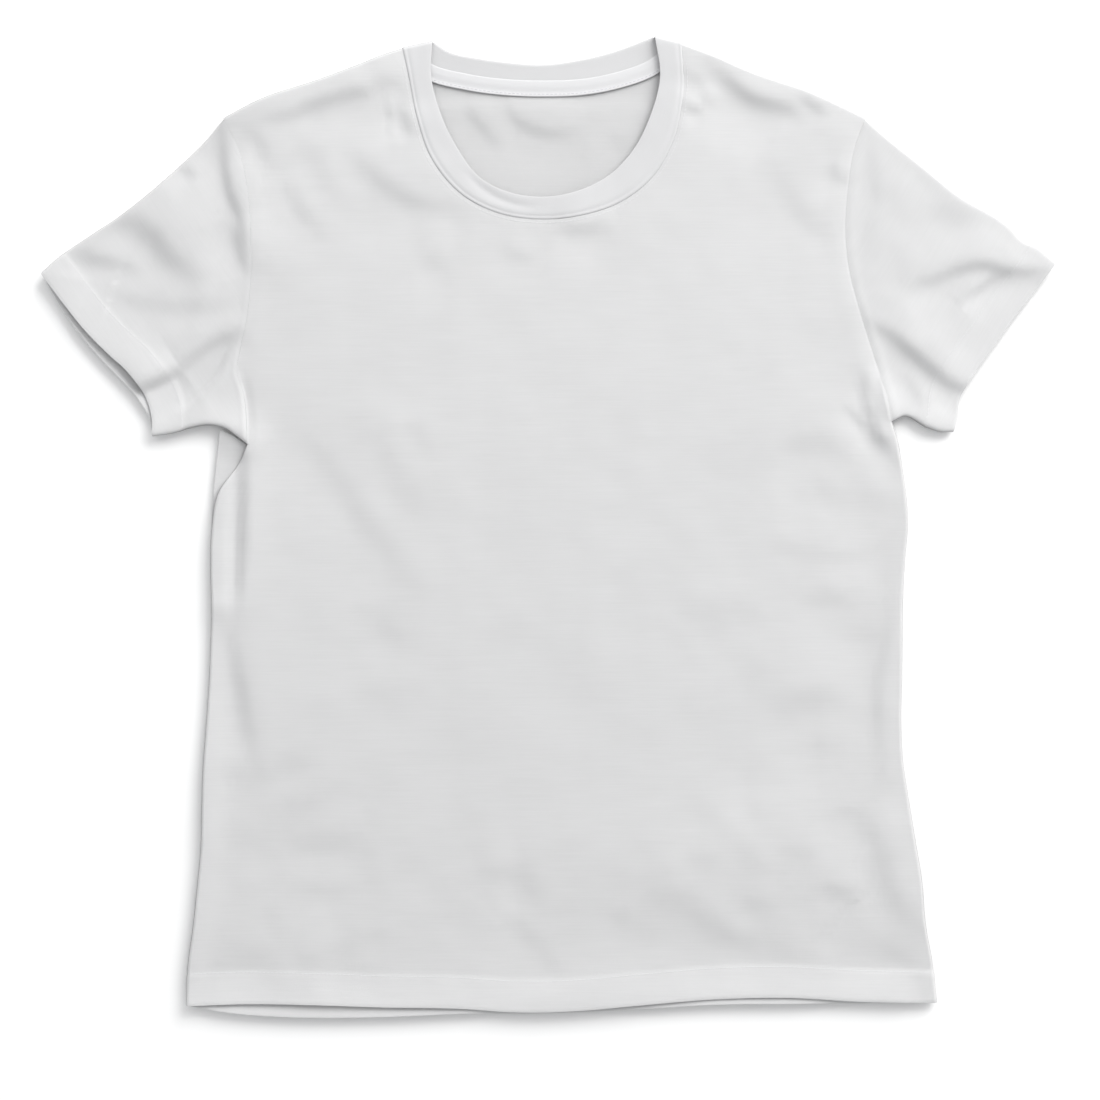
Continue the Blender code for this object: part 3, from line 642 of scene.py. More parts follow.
def rows_from_hem(rates, even_rows, fixed):
    """Each column's fractions of the way up from a hem.

    The hem's own rows come first, at true distances that the rates turn into fractions,
    then even rows, then the rows at the fractions in fixed.
    """
    near = np.array(HEM_STEPS)[:, None] / rates[None]
    share = np.linspace(0, 1, even_rows + 1)[1:-1, None]
    even = between(near[-1], fixed[0], share)
    rest = widened(np.array(fixed), len(rates))
    return np.concatenate((near, even, rest))


def with_height(plan, height):
    """Points of a layer from its plan and its height over the ground, curled edges added."""
    return np.concatenate((plan, (height + curl(plan))[..., None]), axis=-1)


def crease_height(plan, creases):
    """Height of a table of creases, each a soft step whose two sides slowly come level again."""
    flat = plan.reshape(-1, 2)
    height = np.zeros(len(flat))
    for half_width, rise, *line in creases:
        length = run_of(line)[-1]
        relax = min(CREASE_RELAX * half_width, RELAX_SHARE * length + half_width)
        reach = CREASE_REACH * relax
        low = np.min(line, axis=0) - reach
        high = np.max(line, axis=0) + reach
        near = np.all((flat > low) & (flat < high), axis=1)
        if not near.any():
            continue
        chain = along(line, np.linspace(0, 1, max(4, round(length / LINE_STEP))))
        side, share = nearest_on(flat[near], chain)
        fade = np.sin(math.pi * share)
        height[near] += rise * np.tanh(side / half_width) * bell(side, relax) * fade
    return height.reshape(plan.shape[:-1])


def waves(plan, seed):
    """Very shallow waves of many lengths and directions."""
    random = np.random.default_rng(seed)
    height = np.zeros(plan.shape[:-1])
    for length in np.geomspace(*WAVE_LENGTHS, WAVE_COUNT):
        way = random.uniform(0, 2 * math.pi)
        phase = random.uniform(0, 2 * math.pi)
        number = 2 * math.pi / length
        across = plan @ np.array((math.cos(way), math.sin(way)))
        height += WAVE_SLOPE / number * np.sin(number * across + phase)
    return height


def curl(plan):
    """How far the ground's side of the cloth is lifted where the edges curl up."""
    total = np.zeros(plan.shape[:-1])
    for height, reach, *line in CURLS:
        total += (height * bell(distance_to(plan, [line]), reach)) ** CURL_BLEND
    return total ** (1 / CURL_BLEND)


def settled(plan):
    """Share of the upper layer's height that is left towards the edges where it comes down."""
    left = np.ones(plan.shape[:-1])
    for share, *line in SETTLED:
        left = np.minimum(left, between(1, share, bell(distance_to(plan, [line]), SETTLED_REACH)))
    return left


def upper_height(plan, thickness, settles=True):
    """Height of the upper layer's middle surface, away from its rolled edges."""
    foot = thickness + FOLD_ROOM
    height = between(foot, LOFT, settled(plan) if settles else 1.0)
    for x, y, radius, rise in SWELLS:
        height += rise * bell(lengths(plan - np.array((x, y))), radius)
    for fold in TROUGHS:
        height += fold_height(plan, fold)
    height += crease_height(plan, CREASES) + waves(plan, WAVE_SEED)
    lowest = thickness + thickness / 2 + CLEARANCE
    over = height - lowest
    return lowest + (over + np.hypot(over, LANDING)) / 2


def make_mesh(name, points, faces, uv, material, layers):
    """A smooth-shaded mesh object from arrays, millimetres in and metres out.

    Layers is above 0 where the cloth is turned up, which lets less light through, and below
    0 on the back inside the neck opening, where it carries painted shade.
    """
    mesh = bpy.data.meshes.new(name)
    mesh.from_pydata((points * MM).tolist(), [], faces.tolist())
    layer = mesh.uv_layers.new(name="cloth")
    layer.data.foreach_set("uv", (uv[faces.ravel()] * MM).ravel())
    attribute = mesh.attributes.new("layers", "FLOAT", "POINT")
    attribute.data.foreach_set("value", layers)
    mesh.shade_smooth()
    mesh.set_sharp_from_angle(angle=SHARP_ANGLE)
    mesh.materials.append(material)
    piece = bpy.data.objects.new(name, mesh)
    bpy.context.collection.objects.link(piece)
    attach(piece, "root")
    return piece


def make_shell(
    name, middle, thickness, square, uv, material, rolled=None, cells=None, looped=False, layers=None
):
    """A closed shell on both sides of a grid of points, whose columns may join up in a loop."""
    rows, columns = middle.shape[:2]
    number = np.arange(rows * columns).reshape(rows, columns)
    if looped:
        number = np.concatenate((number, number[:, :1]), axis=1)
    corners = (number[:-1, :-1], number[:-1, 1:], number[1:, 1:], number[1:, :-1])
    quads = np.stack(corners, axis=-1)
    quads = quads.reshape(-1, 4) if cells is None else quads[cells]

    points = middle.reshape(-1, 3)
    diagonals = (points[quads[:, 2]] - points[quads[:, 0]], points[quads[:, 3]] - points[quads[:, 1]])
    slants = np.cross(*diagonals)
    normal = np.zeros(points.shape)
    for corner in range(4):
        np.add.at(normal, quads[:, corner], slants)
    if rolled is not None:
        facing = rolled.reshape(-1, 3)
        normal = np.where(np.any(facing != 0, axis=1)[:, None], facing, normal)
        square = np.where(np.any(rolled != 0, axis=-1)[..., None], 0, square)
    across = square.reshape(-1, 3)
    normal -= np.sum(normal * across, axis=1)[:, None] * across
    used = np.unique(quads)
    normal[used] = unit(normal[used])
    offset = normal * thickness.reshape(-1, 1) / 2

    place = np.full(len(points), -1)
    place[used] = np.arange(len(used))
    upper = place[quads]
    lower = upper[:, ::-1] + len(used)
    starts = upper.ravel()
    ends = np.roll(upper, -1, axis=1).ravel()
    keys = starts * len(used) + ends
    rim = ~np.isin(keys, ends * len(used) + starts)
    starts, ends = starts[rim], ends[rim]
    walls = np.stack((ends, starts, starts + len(used), ends + len(used)), axis=1)
    faces = np.concatenate((upper, lower, walls))
    both = np.concatenate((points[used] + offset[used], points[used] - offset[used]))
    flat = np.tile(uv.reshape(-1, 2)[used], (2, 1))
    layers = np.zeros(len(both)) if layers is None else np.tile(layers.ravel()[used], 2)
    return make_mesh(name, both, faces, flat, material, layers)


def front_side(side, armhole, inward):
    """The front's side seam: inside the back's, and on the left tucked in at the underarm."""
    points = np.array(side, dtype=float)
    points[:, 0] += inward * FRONT_INSET
    if inward > 0:
        points[:, 0] += UNDERARM_TUCK * smooth_step(points[:, 1], TUCK_FROM, TUCK_TO)
    points[-1] = armhole[0]
    return points


def body_plan(left, right, hem, top, even_rows, fixed):
    """Plan grid of a panel from its hem up to a top row, whose points set the columns.

    The sides are (curves, corners). The fractions in fixed are of their whole length, and
    the last one is where the top row meets them.
    """
    columns = (top[:, 0] - top[0, 0]) / (top[-1, 0] - top[0, 0])
    bottom = along(hem, columns)

    def spanned(up):
        edges = [
            along_joined(*side, fixed[-1] * up.ravel()).reshape(*up.shape, 2) for side in (left, right)
        ]
        return patch(*edges, bottom, top, columns, up, SIDE_FADE, END_FADE)

    trial = spanned(np.stack((np.zeros(len(columns)), np.full(len(columns), TRIAL_SHARE))))
    rates = lengths(trial[1] - trial[0]) / TRIAL_SHARE
    return spanned(rows_from_hem(rates, even_rows, np.array(fixed) / fixed[-1]))


def set_squares(square, plan, chains):
    """Sets the direction square to each chain of grid places, which is given as an index."""
    for chain in chains:
        square[chain] = square_to(plan[chain])


def from_hem(rows):
    """Each row's distance from a hem, and no end of it beyond the hem's own rows."""
    steps = np.full(rows, np.inf)
    steps[:len(HEM_STEPS)] = HEM_STEPS
    return steps


def turned_up(grid):
    """1 in a turned-up hem, falling to 0 at its sewing."""
    rows, columns = grid.shape[:2]
    double = 1 - smooth_step(from_hem(rows), HEM_DEPTH - HEM_SLOPE, HEM_DEPTH + HEM_SLOPE)
    return widened(double, columns)


def hem_thickness(grid):
    """The cloth's thickness by rows from a turned-up hem: double there, its edge rounded."""
    return (JERSEY + HEM_EXTRA * turned_up(grid)) * edge_round(from_hem(len(grid)))[:, None]


def edge_round(distance):
    """Share of the full thickness near a cut or folded edge, which is rounded."""
    return between(EDGE_SHARE, 1, quarter_round(distance / SOFT_EDGE))


def hem_ridge(rows, height):
    """The row of sewing that holds a hem up makes a low ridge with a dip above it."""
    past = (from_hem(rows) - HEM_DEPTH) / HEM_RIDGE_WIDTH
    return height * (bell(past, 1) - bell(past - 2, 1))[:, None]


def lip(plan, chain):
    """Lift of a hem's edge where it shows past the layer on it, whose edge is the chain."""
    shows = smooth_step(distance_to(plan[0], [chain]), *LIP_SHOWS)
    return LIP * bell(from_hem(len(plan)), LIP_REACH)[:, None] * shows


def seam_relief(distance, groove, ridge, ridge_at, ridge_width):
    """A groove at a seam, and beside it a low ridge over its turned-in edges."""
    return ridge * bell(distance - ridge_at, ridge_width) - groove * bell(distance, GROOVE_WIDTH)


def make_back(material):
    """The back panel, flat on the ground, with a corner that shows under the left sleeve."""
    steps = np.linspace(0, 1, BACK_SHOULDER_COLUMNS + 1)
    crown = len(ROLL_TURNS) - 1
    neck_steps = spaced(NECK_LENGTH, NECK_STEPS)[crown:-crown]
    neck = along([row[:2] for row in BAND_BACK], (0, *neck_steps, 1))
    shoulders = (along(LEFT_SHOULDER, steps), along(RIGHT_SHOULDER, steps)[::-1])
    top = np.concatenate((shoulders[0][:-1], moved_aside(neck, -SEAM_GAP), shoulders[1][1:]))
    across = ((top[:, 0] - top[0, 0]) / (top[-1, 0] - top[0, 0]))[:, None]

    level = between(np.array(LEFT_ARMHOLE[0]), np.array(RIGHT_ARMHOLE[0]), across)
    sides = (((LEFT_SIDE,), ()), ((RIGHT_SIDE,), ()))
    body = body_plan(*sides, BACK_HEM, np.concatenate((LEFT_LEDGE, level)), BACK_SIDE_ROWS, (1.0,))
    ledge = len(LEFT_LEDGE)
    steps = spaced(ARMHOLE_LENGTH, BACK_ARMHOLE_STEPS)
    up = widened(steps, len(top))
    armholes = (along(LEFT_ARMHOLE, steps)[:, None], along(RIGHT_ARMHOLE, steps)[:, None])
    yoke = patch(*armholes, level, top, across[:, 0], up)
    nothing = np.zeros((len(yoke), ledge, 2))
    plan = np.concatenate((body, np.concatenate((nothing, yoke), axis=1)[1:]))

    rows, columns = plan.shape[:2]
    underarm = len(body) - 1
    cells = np.ones((rows - 1, columns - 1), dtype=bool)
    cells[underarm:, :ledge] = False
    square = np.zeros((rows, columns, 3))
    neck_edge = np.s_[-1, ledge + BACK_SHOULDER_COLUMNS:-BACK_SHOULDER_COLUMNS]
    set_squares(square, plan, (0, neck_edge, np.s_[underarm:, ledge], np.s_[underarm:, -1]))
    thickness = hem_thickness(plan)
    front_hem = along(FRONT_HEM, np.linspace(0, 1, LIP_POINTS))
    neck_hole = smooth_step(plan[..., 1], *NECK_RISES) * smooth_step(-np.abs(plan[..., 0]), *NECK_SPREADS)
    free = neck_hole * smooth_step(-plan[..., 1], *NECK_TOP)
    folds = NECK_REST * free + crease_height(plan, BACK_CREASES)
    folds = np.clip(folds, 0, between(BACK_HIGHEST, NECK_HIGHEST, free))
    height = thickness / 2 + folds + lip(plan, front_hem)
    # Inside the neck opening the back's layers value drops: painted shade.
    layers = turned_up(plan) - NECK_HOLE_PAINTED_SHADE * neck_hole
    return make_shell(
        "cloth_back", with_height(plan, height), thickness, square, plan, material, cells=cells, layers=layers
    )


def make_strap(armhole, neck, shoulder, steps):
    """Plan grid of the front beside the neck, from the chest row up to the shoulder."""
    across = spaced(SHOULDER_LENGTH, FRONT_SHOULDER_COLUMNS, NO_TURNS)
    chest = between(along(armhole, steps[:1]), neck[0], across[:, None])
    up = widened((steps - steps[0]) / (1 - steps[0]), len(across))
    sides = (along(armhole, steps)[:, None], neck[:, None])
    return patch(*sides, chest, along(shoulder, across), across, up)


def make_front(material):
    """The front panel over the back, rolled down to it at the sides and the shoulders.

    Up to a chest row that touches the neck's lower curve it is one grid. Above that row only
    the columns of the two straps beside the neck go on.
    """
    neck = along([row[:2] for row in BAND_FRONT], spaced(NECK_LENGTH, NECK_STEPS))
    neck = moved_aside(neck, -SEAM_GAP)
    armhole = spaced(ARMHOLE_LENGTH, ARMHOLE_STEPS)
    strap_rows = STRAP_STEPS + len(ROLL_TURNS) - 1
    strap_steps = armhole[-strap_rows - 1:]
    left_strap = make_strap(LEFT_ARMHOLE, neck[strap_rows::-1], LEFT_SHOULDER, strap_steps)
    right_strap = make_strap(RIGHT_ARMHOLE, neck[-strap_rows - 1:], RIGHT_SHOULDER, strap_steps)
    right_strap = right_strap[:, ::-1]
    curve = neck[strap_rows + 1:-strap_rows - 1]
    top = np.concatenate((left_strap[0], curve, right_strap[0]))

    fixed = between(UNDERARM_AT, 1, armhole[:-strap_rows])
    left = ((front_side(LEFT_SIDE, LEFT_ARMHOLE, 1), LEFT_ARMHOLE), (UNDERARM_AT,))
    right = ((front_side(RIGHT_SIDE, RIGHT_ARMHOLE, -1), RIGHT_ARMHOLE), (UNDERARM_AT,))
    body = body_plan(left, right, FRONT_HEM, top, FRONT_SIDE_ROWS, fixed)
    gap = np.repeat(curve[None], strap_rows, axis=0)
    plan = np.concatenate((body, np.concatenate((left_strap[1:], gap, right_strap[1:]), axis=1)))

    rows, columns = plan.shape[:2]
    chest_row = len(body) - 1
    underarm = chest_row - len(fixed) + 1
    strap = left_strap.shape[1]
    inner = (strap - 1, columns - strap)
    square = np.zeros((rows, columns, 3))
    armholes = [np.s_[underarm:, side] for side in (0, -1)]
    neck_places = [(row, inner[0]) for row in range(rows - 1, chest_row, -1)]
    neck_places += [(chest_row, column) for column in range(inner[0], inner[1] + 1)]
    neck_places += [(row, inner[1]) for row in range(chest_row + 1, rows)]
    neck_edge = tuple(np.array(neck_places).T)
    set_squares(square, plan, (0, *armholes, neck_edge))

    rolled = np.zeros((rows, columns, 3))
    edges = [np.s_[:underarm + 1, side] for side in (0, -1)]
    edges += [np.s_[-1, :strap], np.s_[-1, -strap:]]
    set_squares(rolled, plan, edges)
    rolled[:underarm + 1, 0] *= -1
    rolled[-1] *= -1

    cells = np.ones((rows - 1, columns - 1), dtype=bool)
    cells[chest_row:, inner[0]:inner[1]] = False
    rise = quarter_round(distance_to(plan, [plan[edge] for edge in edges]) / EDGE_ROLL)
    relief = hem_ridge(rows, HEM_RIDGE)
    seams = (FRONT_LEFT_SEAM, FRONT_RIGHT_SEAM, FRONT_NECK_SEAM)
    for edge, form in zip((*armholes, neck_edge), seams):
        relief = relief + seam_relief(distance_to(plan, [plan[edge]]), *form)
    thickness = hem_thickness(plan)
    height = between(thickness + FOLD_ROOM, upper_height(plan, thickness) + relief, rise)
    return make_shell(
        "cloth_front", with_height(plan, height), thickness, square, plan, material, rolled, cells,
        layers=turned_up(plan),
    )


def make_loop(name, upper, lower, thickness, room, relief, uv, material, settles=True):
    """A flattened loop of cloth: two layers that meet at the first and the last column."""
    folds = (upper[:, 0], upper[:, -1])
    rise = quarter_round(distance_to(upper, folds) / EDGE_ROLL)
    sink = quarter_round(distance_to(lower, folds) / UNDER_ROLL)
    foot = thickness + room
    over = upper_height(upper, thickness, settles)
    upper_layer = with_height(upper, between(foot, over + relief, rise))
    under = between(foot, thickness / 2, sink)
    lower_layer = with_height(lower, under + lip(lower, upper[0]) if settles else under)
    square = np.zeros((2, *upper.shape[:2], 3))
    for layer, plan in zip(square, (upper, lower)):
        set_squares(layer, plan, (0, -1))

    def all_round(over, under):
        return np.concatenate((over, under[:, -2:0:-1]), axis=1)

    middle = all_round(upper_layer, lower_layer)
    return make_shell(
        name, middle, all_round(thickness, thickness), all_round(*square), all_round(*uv), material,
        looped=True, layers=CUFF_LAYERS * turned_up(middle) if settles else None,
    )


def make_sleeve(name, armhole, cuff, cuff_under, underarm, overarm, outward, seam_form, material):
    """A sleeve: one loop of cloth, open at the armhole and at the cuff."""
    columns = spaced(ARMHOLE_LENGTH, ARMHOLE_STEPS)
    corner = CORNER_GAP / ARMHOLE_LENGTH
    seam = moved_aside(along(armhole, corner + (1 - 2 * corner) * columns), outward * SEAM_GAP)
    under = np.concatenate((np.array(underarm)[:0:-1], seam[:1]))
    over = np.concatenate((np.array(overarm)[:0:-1], seam[-1:]))
    layers = []
    for edge in (cuff, cuff_under):
        ends = along(edge, columns)
        rows = rows_from_hem(lengths(ends - seam), SLEEVE_ROWS, (1.0,))
        sides = [along(line, rows.ravel()).reshape(*rows.shape, 2) for line in (under, over)]
        layers.append(patch(*sides, ends, seam, columns, rows))
    thickness = hem_thickness(rows)
    relief = seam_relief(distance_to(layers[0], [seam]), *seam_form)
    relief += hem_ridge(len(rows), CUFF_RIDGE)
    grain = unit(np.array(cuff[-1]) - np.array(cuff[0]))
    turn = np.stack((grain, (-grain[1], grain[0])), axis=1)
    uv = [layer @ turn for layer in layers]
    return make_loop(name, *layers, thickness, FOLD_ROOM, relief, uv, material)


def make_neck_band(material):
    """The rib band: its front half over its back half, folded at both shoulders."""
    columns = spaced(NECK_LENGTH, NECK_STEPS)
    front = np.array(BAND_FRONT)
    width = lengths(front[:, :2] - front[:, 2:]).mean()
    near = np.array(BAND_STEPS) / width
    even = np.linspace(near[-1], 1 - near[-1], BAND_ROWS + 1)[1:-1]
    up = np.concatenate((near, even, 1 - near[::-1]))[:, None, None]
    layers = []
    for table in (BAND_FRONT, BAND_BACK):
        seam = along([row[:2] for row in table], columns)
        free = along([row[2:] for row in table], columns)
        layers.append(between(seam, free, up))
    from_seam = up[:, 0] * width
    from_free = width - from_seam
    thinned = np.minimum(edge_round(from_free / BAND_SOFTER), BAND_SEAM_SHARE + from_seam / BAND_SEAM_WIDTH)
    piping = PIPING * bell(from_seam - PIPING_AT, PIPING_WIDTH)
    hollow = BAND_HOLLOW * bell(from_seam - BAND_HOLLOW_AT, PIPING_WIDTH)
    droop = BAND_DROOP * (1 - from_free / BAND_DROOP_WIDTH).clip(0) ** 2
    sunk = BAND_SUNK * (1 - smooth_step(from_seam, 0, BAND_SUNK_WIDTH))
    wide = len(columns)
    relief = widened(piping - hollow - droop - sunk, wide)
    runs = [widened(columns * NECK_LENGTH + offset, len(up)).T for offset in (0, NECK_LENGTH)]
    uv = [np.stack((run, widened(from_seam, wide)), axis=-1) for run in runs]
    thickness = RIB * widened(thinned, wide)
    return make_loop("rib_band", *layers, thickness, RIB_FOLD_ROOM, relief, uv, material, settles=False)


def make_neck_tape(material):
    """The tape inside the back neck, flat over the band's seam, with a bound lower edge."""
    seam = along([row[:2] for row in BAND_BACK], np.linspace(*TAPE_ENDS, TAPE_COLUMNS + 1))
    steps = np.array(TAPE_STEPS)
    plan = np.stack([moved_aside(seam, step) for step in steps])
    inside = np.minimum(steps + TAPE_BELOW_SEAM, TAPE_ABOVE_SEAM - steps)
    into_bound = TAPE_BOUND - TAPE_BELOW_SEAM - steps
    bound = smooth_step(into_bound, -TAPE_BOUND_EDGE, TAPE_BOUND_EDGE)
    thickness = TAPE * edge_round(inside) * (1 + TAPE_BOUND_EXTRA * bound)
    height = RIB + LAYER_GAP + TAPE / 2 - TAPE_FALL * smooth_step(-steps, *TAPE_FALLS)
    uv = np.stack(np.broadcast_arrays(seam[None, :, 0], steps[:, None]), axis=-1)
    middle = with_height(plan, widened(height, len(seam)))
    return make_shell("tape_neck", middle, widened(thickness, len(seam)), 0 * middle, uv, material)


# --- Sewing -----------------------------------------------------------------------------

def on_surface(piece, plan, side):
    """Where plan points meet a piece, from above where side is 1 and from below where it is -1."""
    found = []
    for x, y in plan:
        start = Vector((x, y, side * RAY_FROM)) * MM
        hit, place, _, _ = piece.ray_cast(start, Vector((0, 0, -side)))
        if hit:
            found.append(place)
    return np.array(found) / MM


def sewn(curve, inset, first=1 - SEWN_SHARE, last=SEWN_SHARE):
    """Plan points of a row of sewing that runs beside an edge, at a distance to its left."""
    return moved_aside(along(curve, np.linspace(first, last, SEWN_STEPS)), inset)


def make_stitches(name, lines, material):
    """Short rounded stitches along lines of points, all in one mesh."""
    centres, ways = [], []
    for line in lines:
        run = run_of(line)
        at = np.arange(STITCH_PITCH, run[-1] - STITCH_PITCH, STITCH_PITCH)
        place, ahead = (
            np.stack([np.interp(at + step, run, line[:, axis]) for axis in range(3)], axis=1)
            for step in (0, 1)
        )
        centres.append(place)
        ways.append(unit(ahead - place))
    centres, ways = np.concatenate(centres), np.concatenate(ways)
    sides = unit(np.stack((-ways[:, 1], ways[:, 0], np.zeros(len(ways))), axis=1))
    ups = np.cross(ways, sides)
    points = []
    for share, fatness in STITCH_PROFILE:
        centre = centres + ways * share * STITCH_LENGTH / 2
        for turn in np.linspace(0, 2 * math.pi, STITCH_SIDES, endpoint=False):
            swing = math.cos(turn) * sides + math.sin(turn) * ups
            points.append(centre + swing * fatness * STITCH_WIDTH / 2)
    points = np.stack(points, axis=1)
    faces = []
    for low in range(0, STITCH_SIDES * (len(STITCH_PROFILE) - 1), STITCH_SIDES):
        for side in range(STITCH_SIDES):
            after = (side + 1) % STITCH_SIDES
            high = low + STITCH_SIDES
            faces.append((low + side, low + after, high + after, high + side))
    starts = np.arange(len(centres)) * points.shape[1]
    every = (starts[:, None, None] + np.array(faces)[None]).reshape(-1, 4)
    flat = points.reshape(-1, 3)
    return make_mesh(name, flat, every, flat[:, :2], material, np.zeros(len(flat)))


def make_sewing(back, front, left, right, neck_tape, thread, tape_thread_painted_shade):
    """Each piece's rows of sewing, by the piece they are on."""
    neck = sewn([row[:2] for row in BAND_FRONT], -NECK_STITCH_AT, *NECK_SEWN)
    tape = sewn([row[:2] for row in BAND_BACK], TAPE_STITCH_AT, *TAPE_ENDS)
    plans = (
        (back, thread, ((sewn(BACK_HEM, HEM_DEPTH), -1),)),
        (front, thread, ((sewn(FRONT_HEM, HEM_DEPTH), 1), (neck, 1))),
        (left, thread, ((sewn(LEFT_CUFF, -HEM_DEPTH), 1), (sewn(LEFT_CUFF_UNDER, -HEM_DEPTH), -1))),
        (right, thread, ((sewn(RIGHT_CUFF, HEM_DEPTH), 1), (sewn(RIGHT_CUFF, HEM_DEPTH), -1))),
        (neck_tape, tape_thread_painted_shade, ((tape, 1),)),
    )
    sewing = {}
    for piece, material, rows in plans:
        lines = [on_surface(piece, plan, side) for plan, side in rows]
        sewing[piece.name] = make_stitches(f"sewing_{piece.name}", lines, material)
    return sewing


# --- Materials --------------------------------------------------------------------------

class Nodes:
    """Short ways to add shader nodes to one material."""

    def __init__(self, name):
        self.material = bpy.data.materials.new(name)
        self.material.use_nodes = True
        self.tree = self.material.node_tree
        self.shader = self.tree.nodes["Principled BSDF"]

    def add(self, kind, inputs=(), output=0, **settings):
        """One output of a new node, whose inputs are linked or set."""
        node = self.tree.nodes.new(kind)
        for setting, value in settings.items():
            setattr(node, setting, value)
        for socket, value in inputs:
            if isinstance(value, bpy.types.NodeSocket):
                self.tree.links.new(value, node.inputs[socket])
            else:
                node.inputs[socket].default_value = value
        return node.outputs[output]

    def join(self, socket, value):
        """Links an output to the shader."""
        self.tree.links.new(value, self.shader.inputs[socket])

    def set(self, **values):
        """Numbers of the shader itself, with _ for each space in their names."""
        for name, value in values.items():
            self.shader.inputs[name.replace("_", " ")].default_value = value

    def colour(self, colour, value):
        """The base colour, brighter or darker by a value about 1."""
        tint = self.add("ShaderNodeVectorMath", [(0, colour), (3, value)], operation="SCALE")
        self.join("Base Color", tint)

    def noise(self, vector, scale, stretch, detail=2.0):
        """Soft noise over a vector, stretched along its axes."""
        placed = self.add("ShaderNodeMapping", [("Vector", vector), ("Scale", stretch)])
        inputs = [("Vector", placed), ("Scale", scale), ("Detail", detail), ("Roughness", NOISE_ROUGHNESS)]
        return self.add("ShaderNodeTexNoise", inputs)

    def math(self, operation, *values):
        return self.add("ShaderNodeMath", enumerate(values), operation=operation)

    def scaled(self, value, centre, gain):
        """centre + gain × (value - 0.5)."""
        return self.math("MULTIPLY_ADD", value, gain, centre - 0.5 * gain)

    def times(self, one, other):
        return self.math("MULTIPLY", one, other)

    def plus(self, one, other):
        return self.math("ADD", one, other)

    def wave(self, value, pitch):
        """A cosine of that pitch, from -1 to 1."""
        return self.math("COSINE", self.times(value, 2 * math.pi / pitch))


def cloth_material(name, colour, streak, wale, course, bump, sheen):
    """A knitted cloth: streaks along its courses, columns and rows of loops as bumps, and painted shade where
    it turns down and inside the neck opening.
    """
    nodes = Nodes(name)
    cloth = nodes.add("ShaderNodeUVMap", uv_map="cloth")
    along_course, up_wale = (
        nodes.add("ShaderNodeSeparateXYZ", [("Vector", cloth)], output=axis) for axis in ("X", "Y")
    )

    streaks = nodes.noise(cloth, 1.0, STREAK_SCALE, 3.0)
    wide = nodes.noise(cloth, 1.0, WIDE_STREAK_SCALE, 2.0)
    clouds = nodes.noise(cloth, CLOUD_SCALE, EVEN, 3.0)
    value = nodes.scaled(streaks, 1.0, streak)
    value = nodes.times(value, nodes.scaled(wide, 1.0, WIDE_STREAK_SHARE * streak))
    value = nodes.times(value, nodes.scaled(clouds, 1.0, CLOUD_GAIN))
    # Layers lightens turned-up hems and paints shade on the back inside the neck opening.
    layers = nodes.add("ShaderNodeAttribute", output="Fac", attribute_name="layers")
    value = nodes.times(value, nodes.plus(nodes.times(layers, LAYERS_AND_PAINTED_SHADE_GAIN), 1.0))
    # Painted shade: the colour darkens where the surface turns down from upright, to the edge shade's tone.
    facing = nodes.add("ShaderNodeNewGeometry", output="Normal")
    up = nodes.add("ShaderNodeSeparateXYZ", [("Vector", facing)], output="Z")
    level = nodes.math("ABSOLUTE", up)
    low, high = EDGE_TURNED
    inputs = [("Value", level), ("From Min", low), ("From Max", high), ("To Min", EDGE_PAINTED_SHADE)]
    shade = nodes.add("ShaderNodeMapRange", inputs, interpolation_type="SMOOTHSTEP")
    nodes.colour(colour, nodes.times(value, shade))

    columns = nodes.wave(along_course, wale)
    loops = nodes.wave(nodes.plus(up_wale, nodes.times(columns, COURSE_DIP * course)), course)
    fuzz = nodes.noise(cloth, FUZZ_SCALE, EVEN)
    height = nodes.plus(nodes.times(columns, WALE_DEPTH), nodes.times(loops, COURSE_DEPTH))
    height = nodes.plus(height, nodes.scaled(fuzz, 0.0, FUZZ_DEPTH))
    inputs = [("Height", height), ("Strength", 1.0), ("Distance", bump)]
    nodes.join("Normal", nodes.add("ShaderNodeBump", inputs))
    nodes.set(Roughness=CLOTH_ROUGHNESS, Specular_IOR_Level=CLOTH_SPECULAR)
    nodes.set(Sheen_Weight=sheen, Sheen_Roughness=SHEEN_ROUGHNESS)
    return nodes.material


def thread_material(name, colour):
    """Sewing thread, a little uneven in tone."""
    nodes = Nodes(name)
    place = nodes.add("ShaderNodeTexCoord")
    cloudy = nodes.noise(place, THREAD_SCALE, EVEN, 1.0)
    nodes.colour(colour, nodes.scaled(cloudy, 1.0, THREAD_GAIN))
    nodes.set(Roughness=THREAD_ROUGHNESS)
    return nodes.material


def floor_material():
    """A dull white floor."""
    nodes = Nodes("floor_white")
    nodes.set(Base_Color=(*FLOOR, 1.0), Roughness=1.0, Specular_IOR_Level=0.0)
    return nodes.material


# --- The scene --------------------------------------------------------------------------

def make_area_light(name, azimuth, elevation, distance, size, watts, colour):
    """A square light that faces the shirt, from degrees round from +X towards +Y and up."""
    light = bpy.data.lights.new(name, "AREA")
    light.shape = "SQUARE"
    light.size = size
    light.energy = watts
    light.color = colour
    turn, lift = math.radians(azimuth), math.radians(elevation)
    way = Vector((math.cos(turn) * math.cos(lift), math.sin(turn) * math.cos(lift), math.sin(lift)))
    lamp = bpy.data.objects.new(name, light)
    lamp.location = way * distance
    lamp.rotation_euler = way.to_track_quat("Z", "Y").to_euler()
    bpy.context.collection.objects.link(lamp)


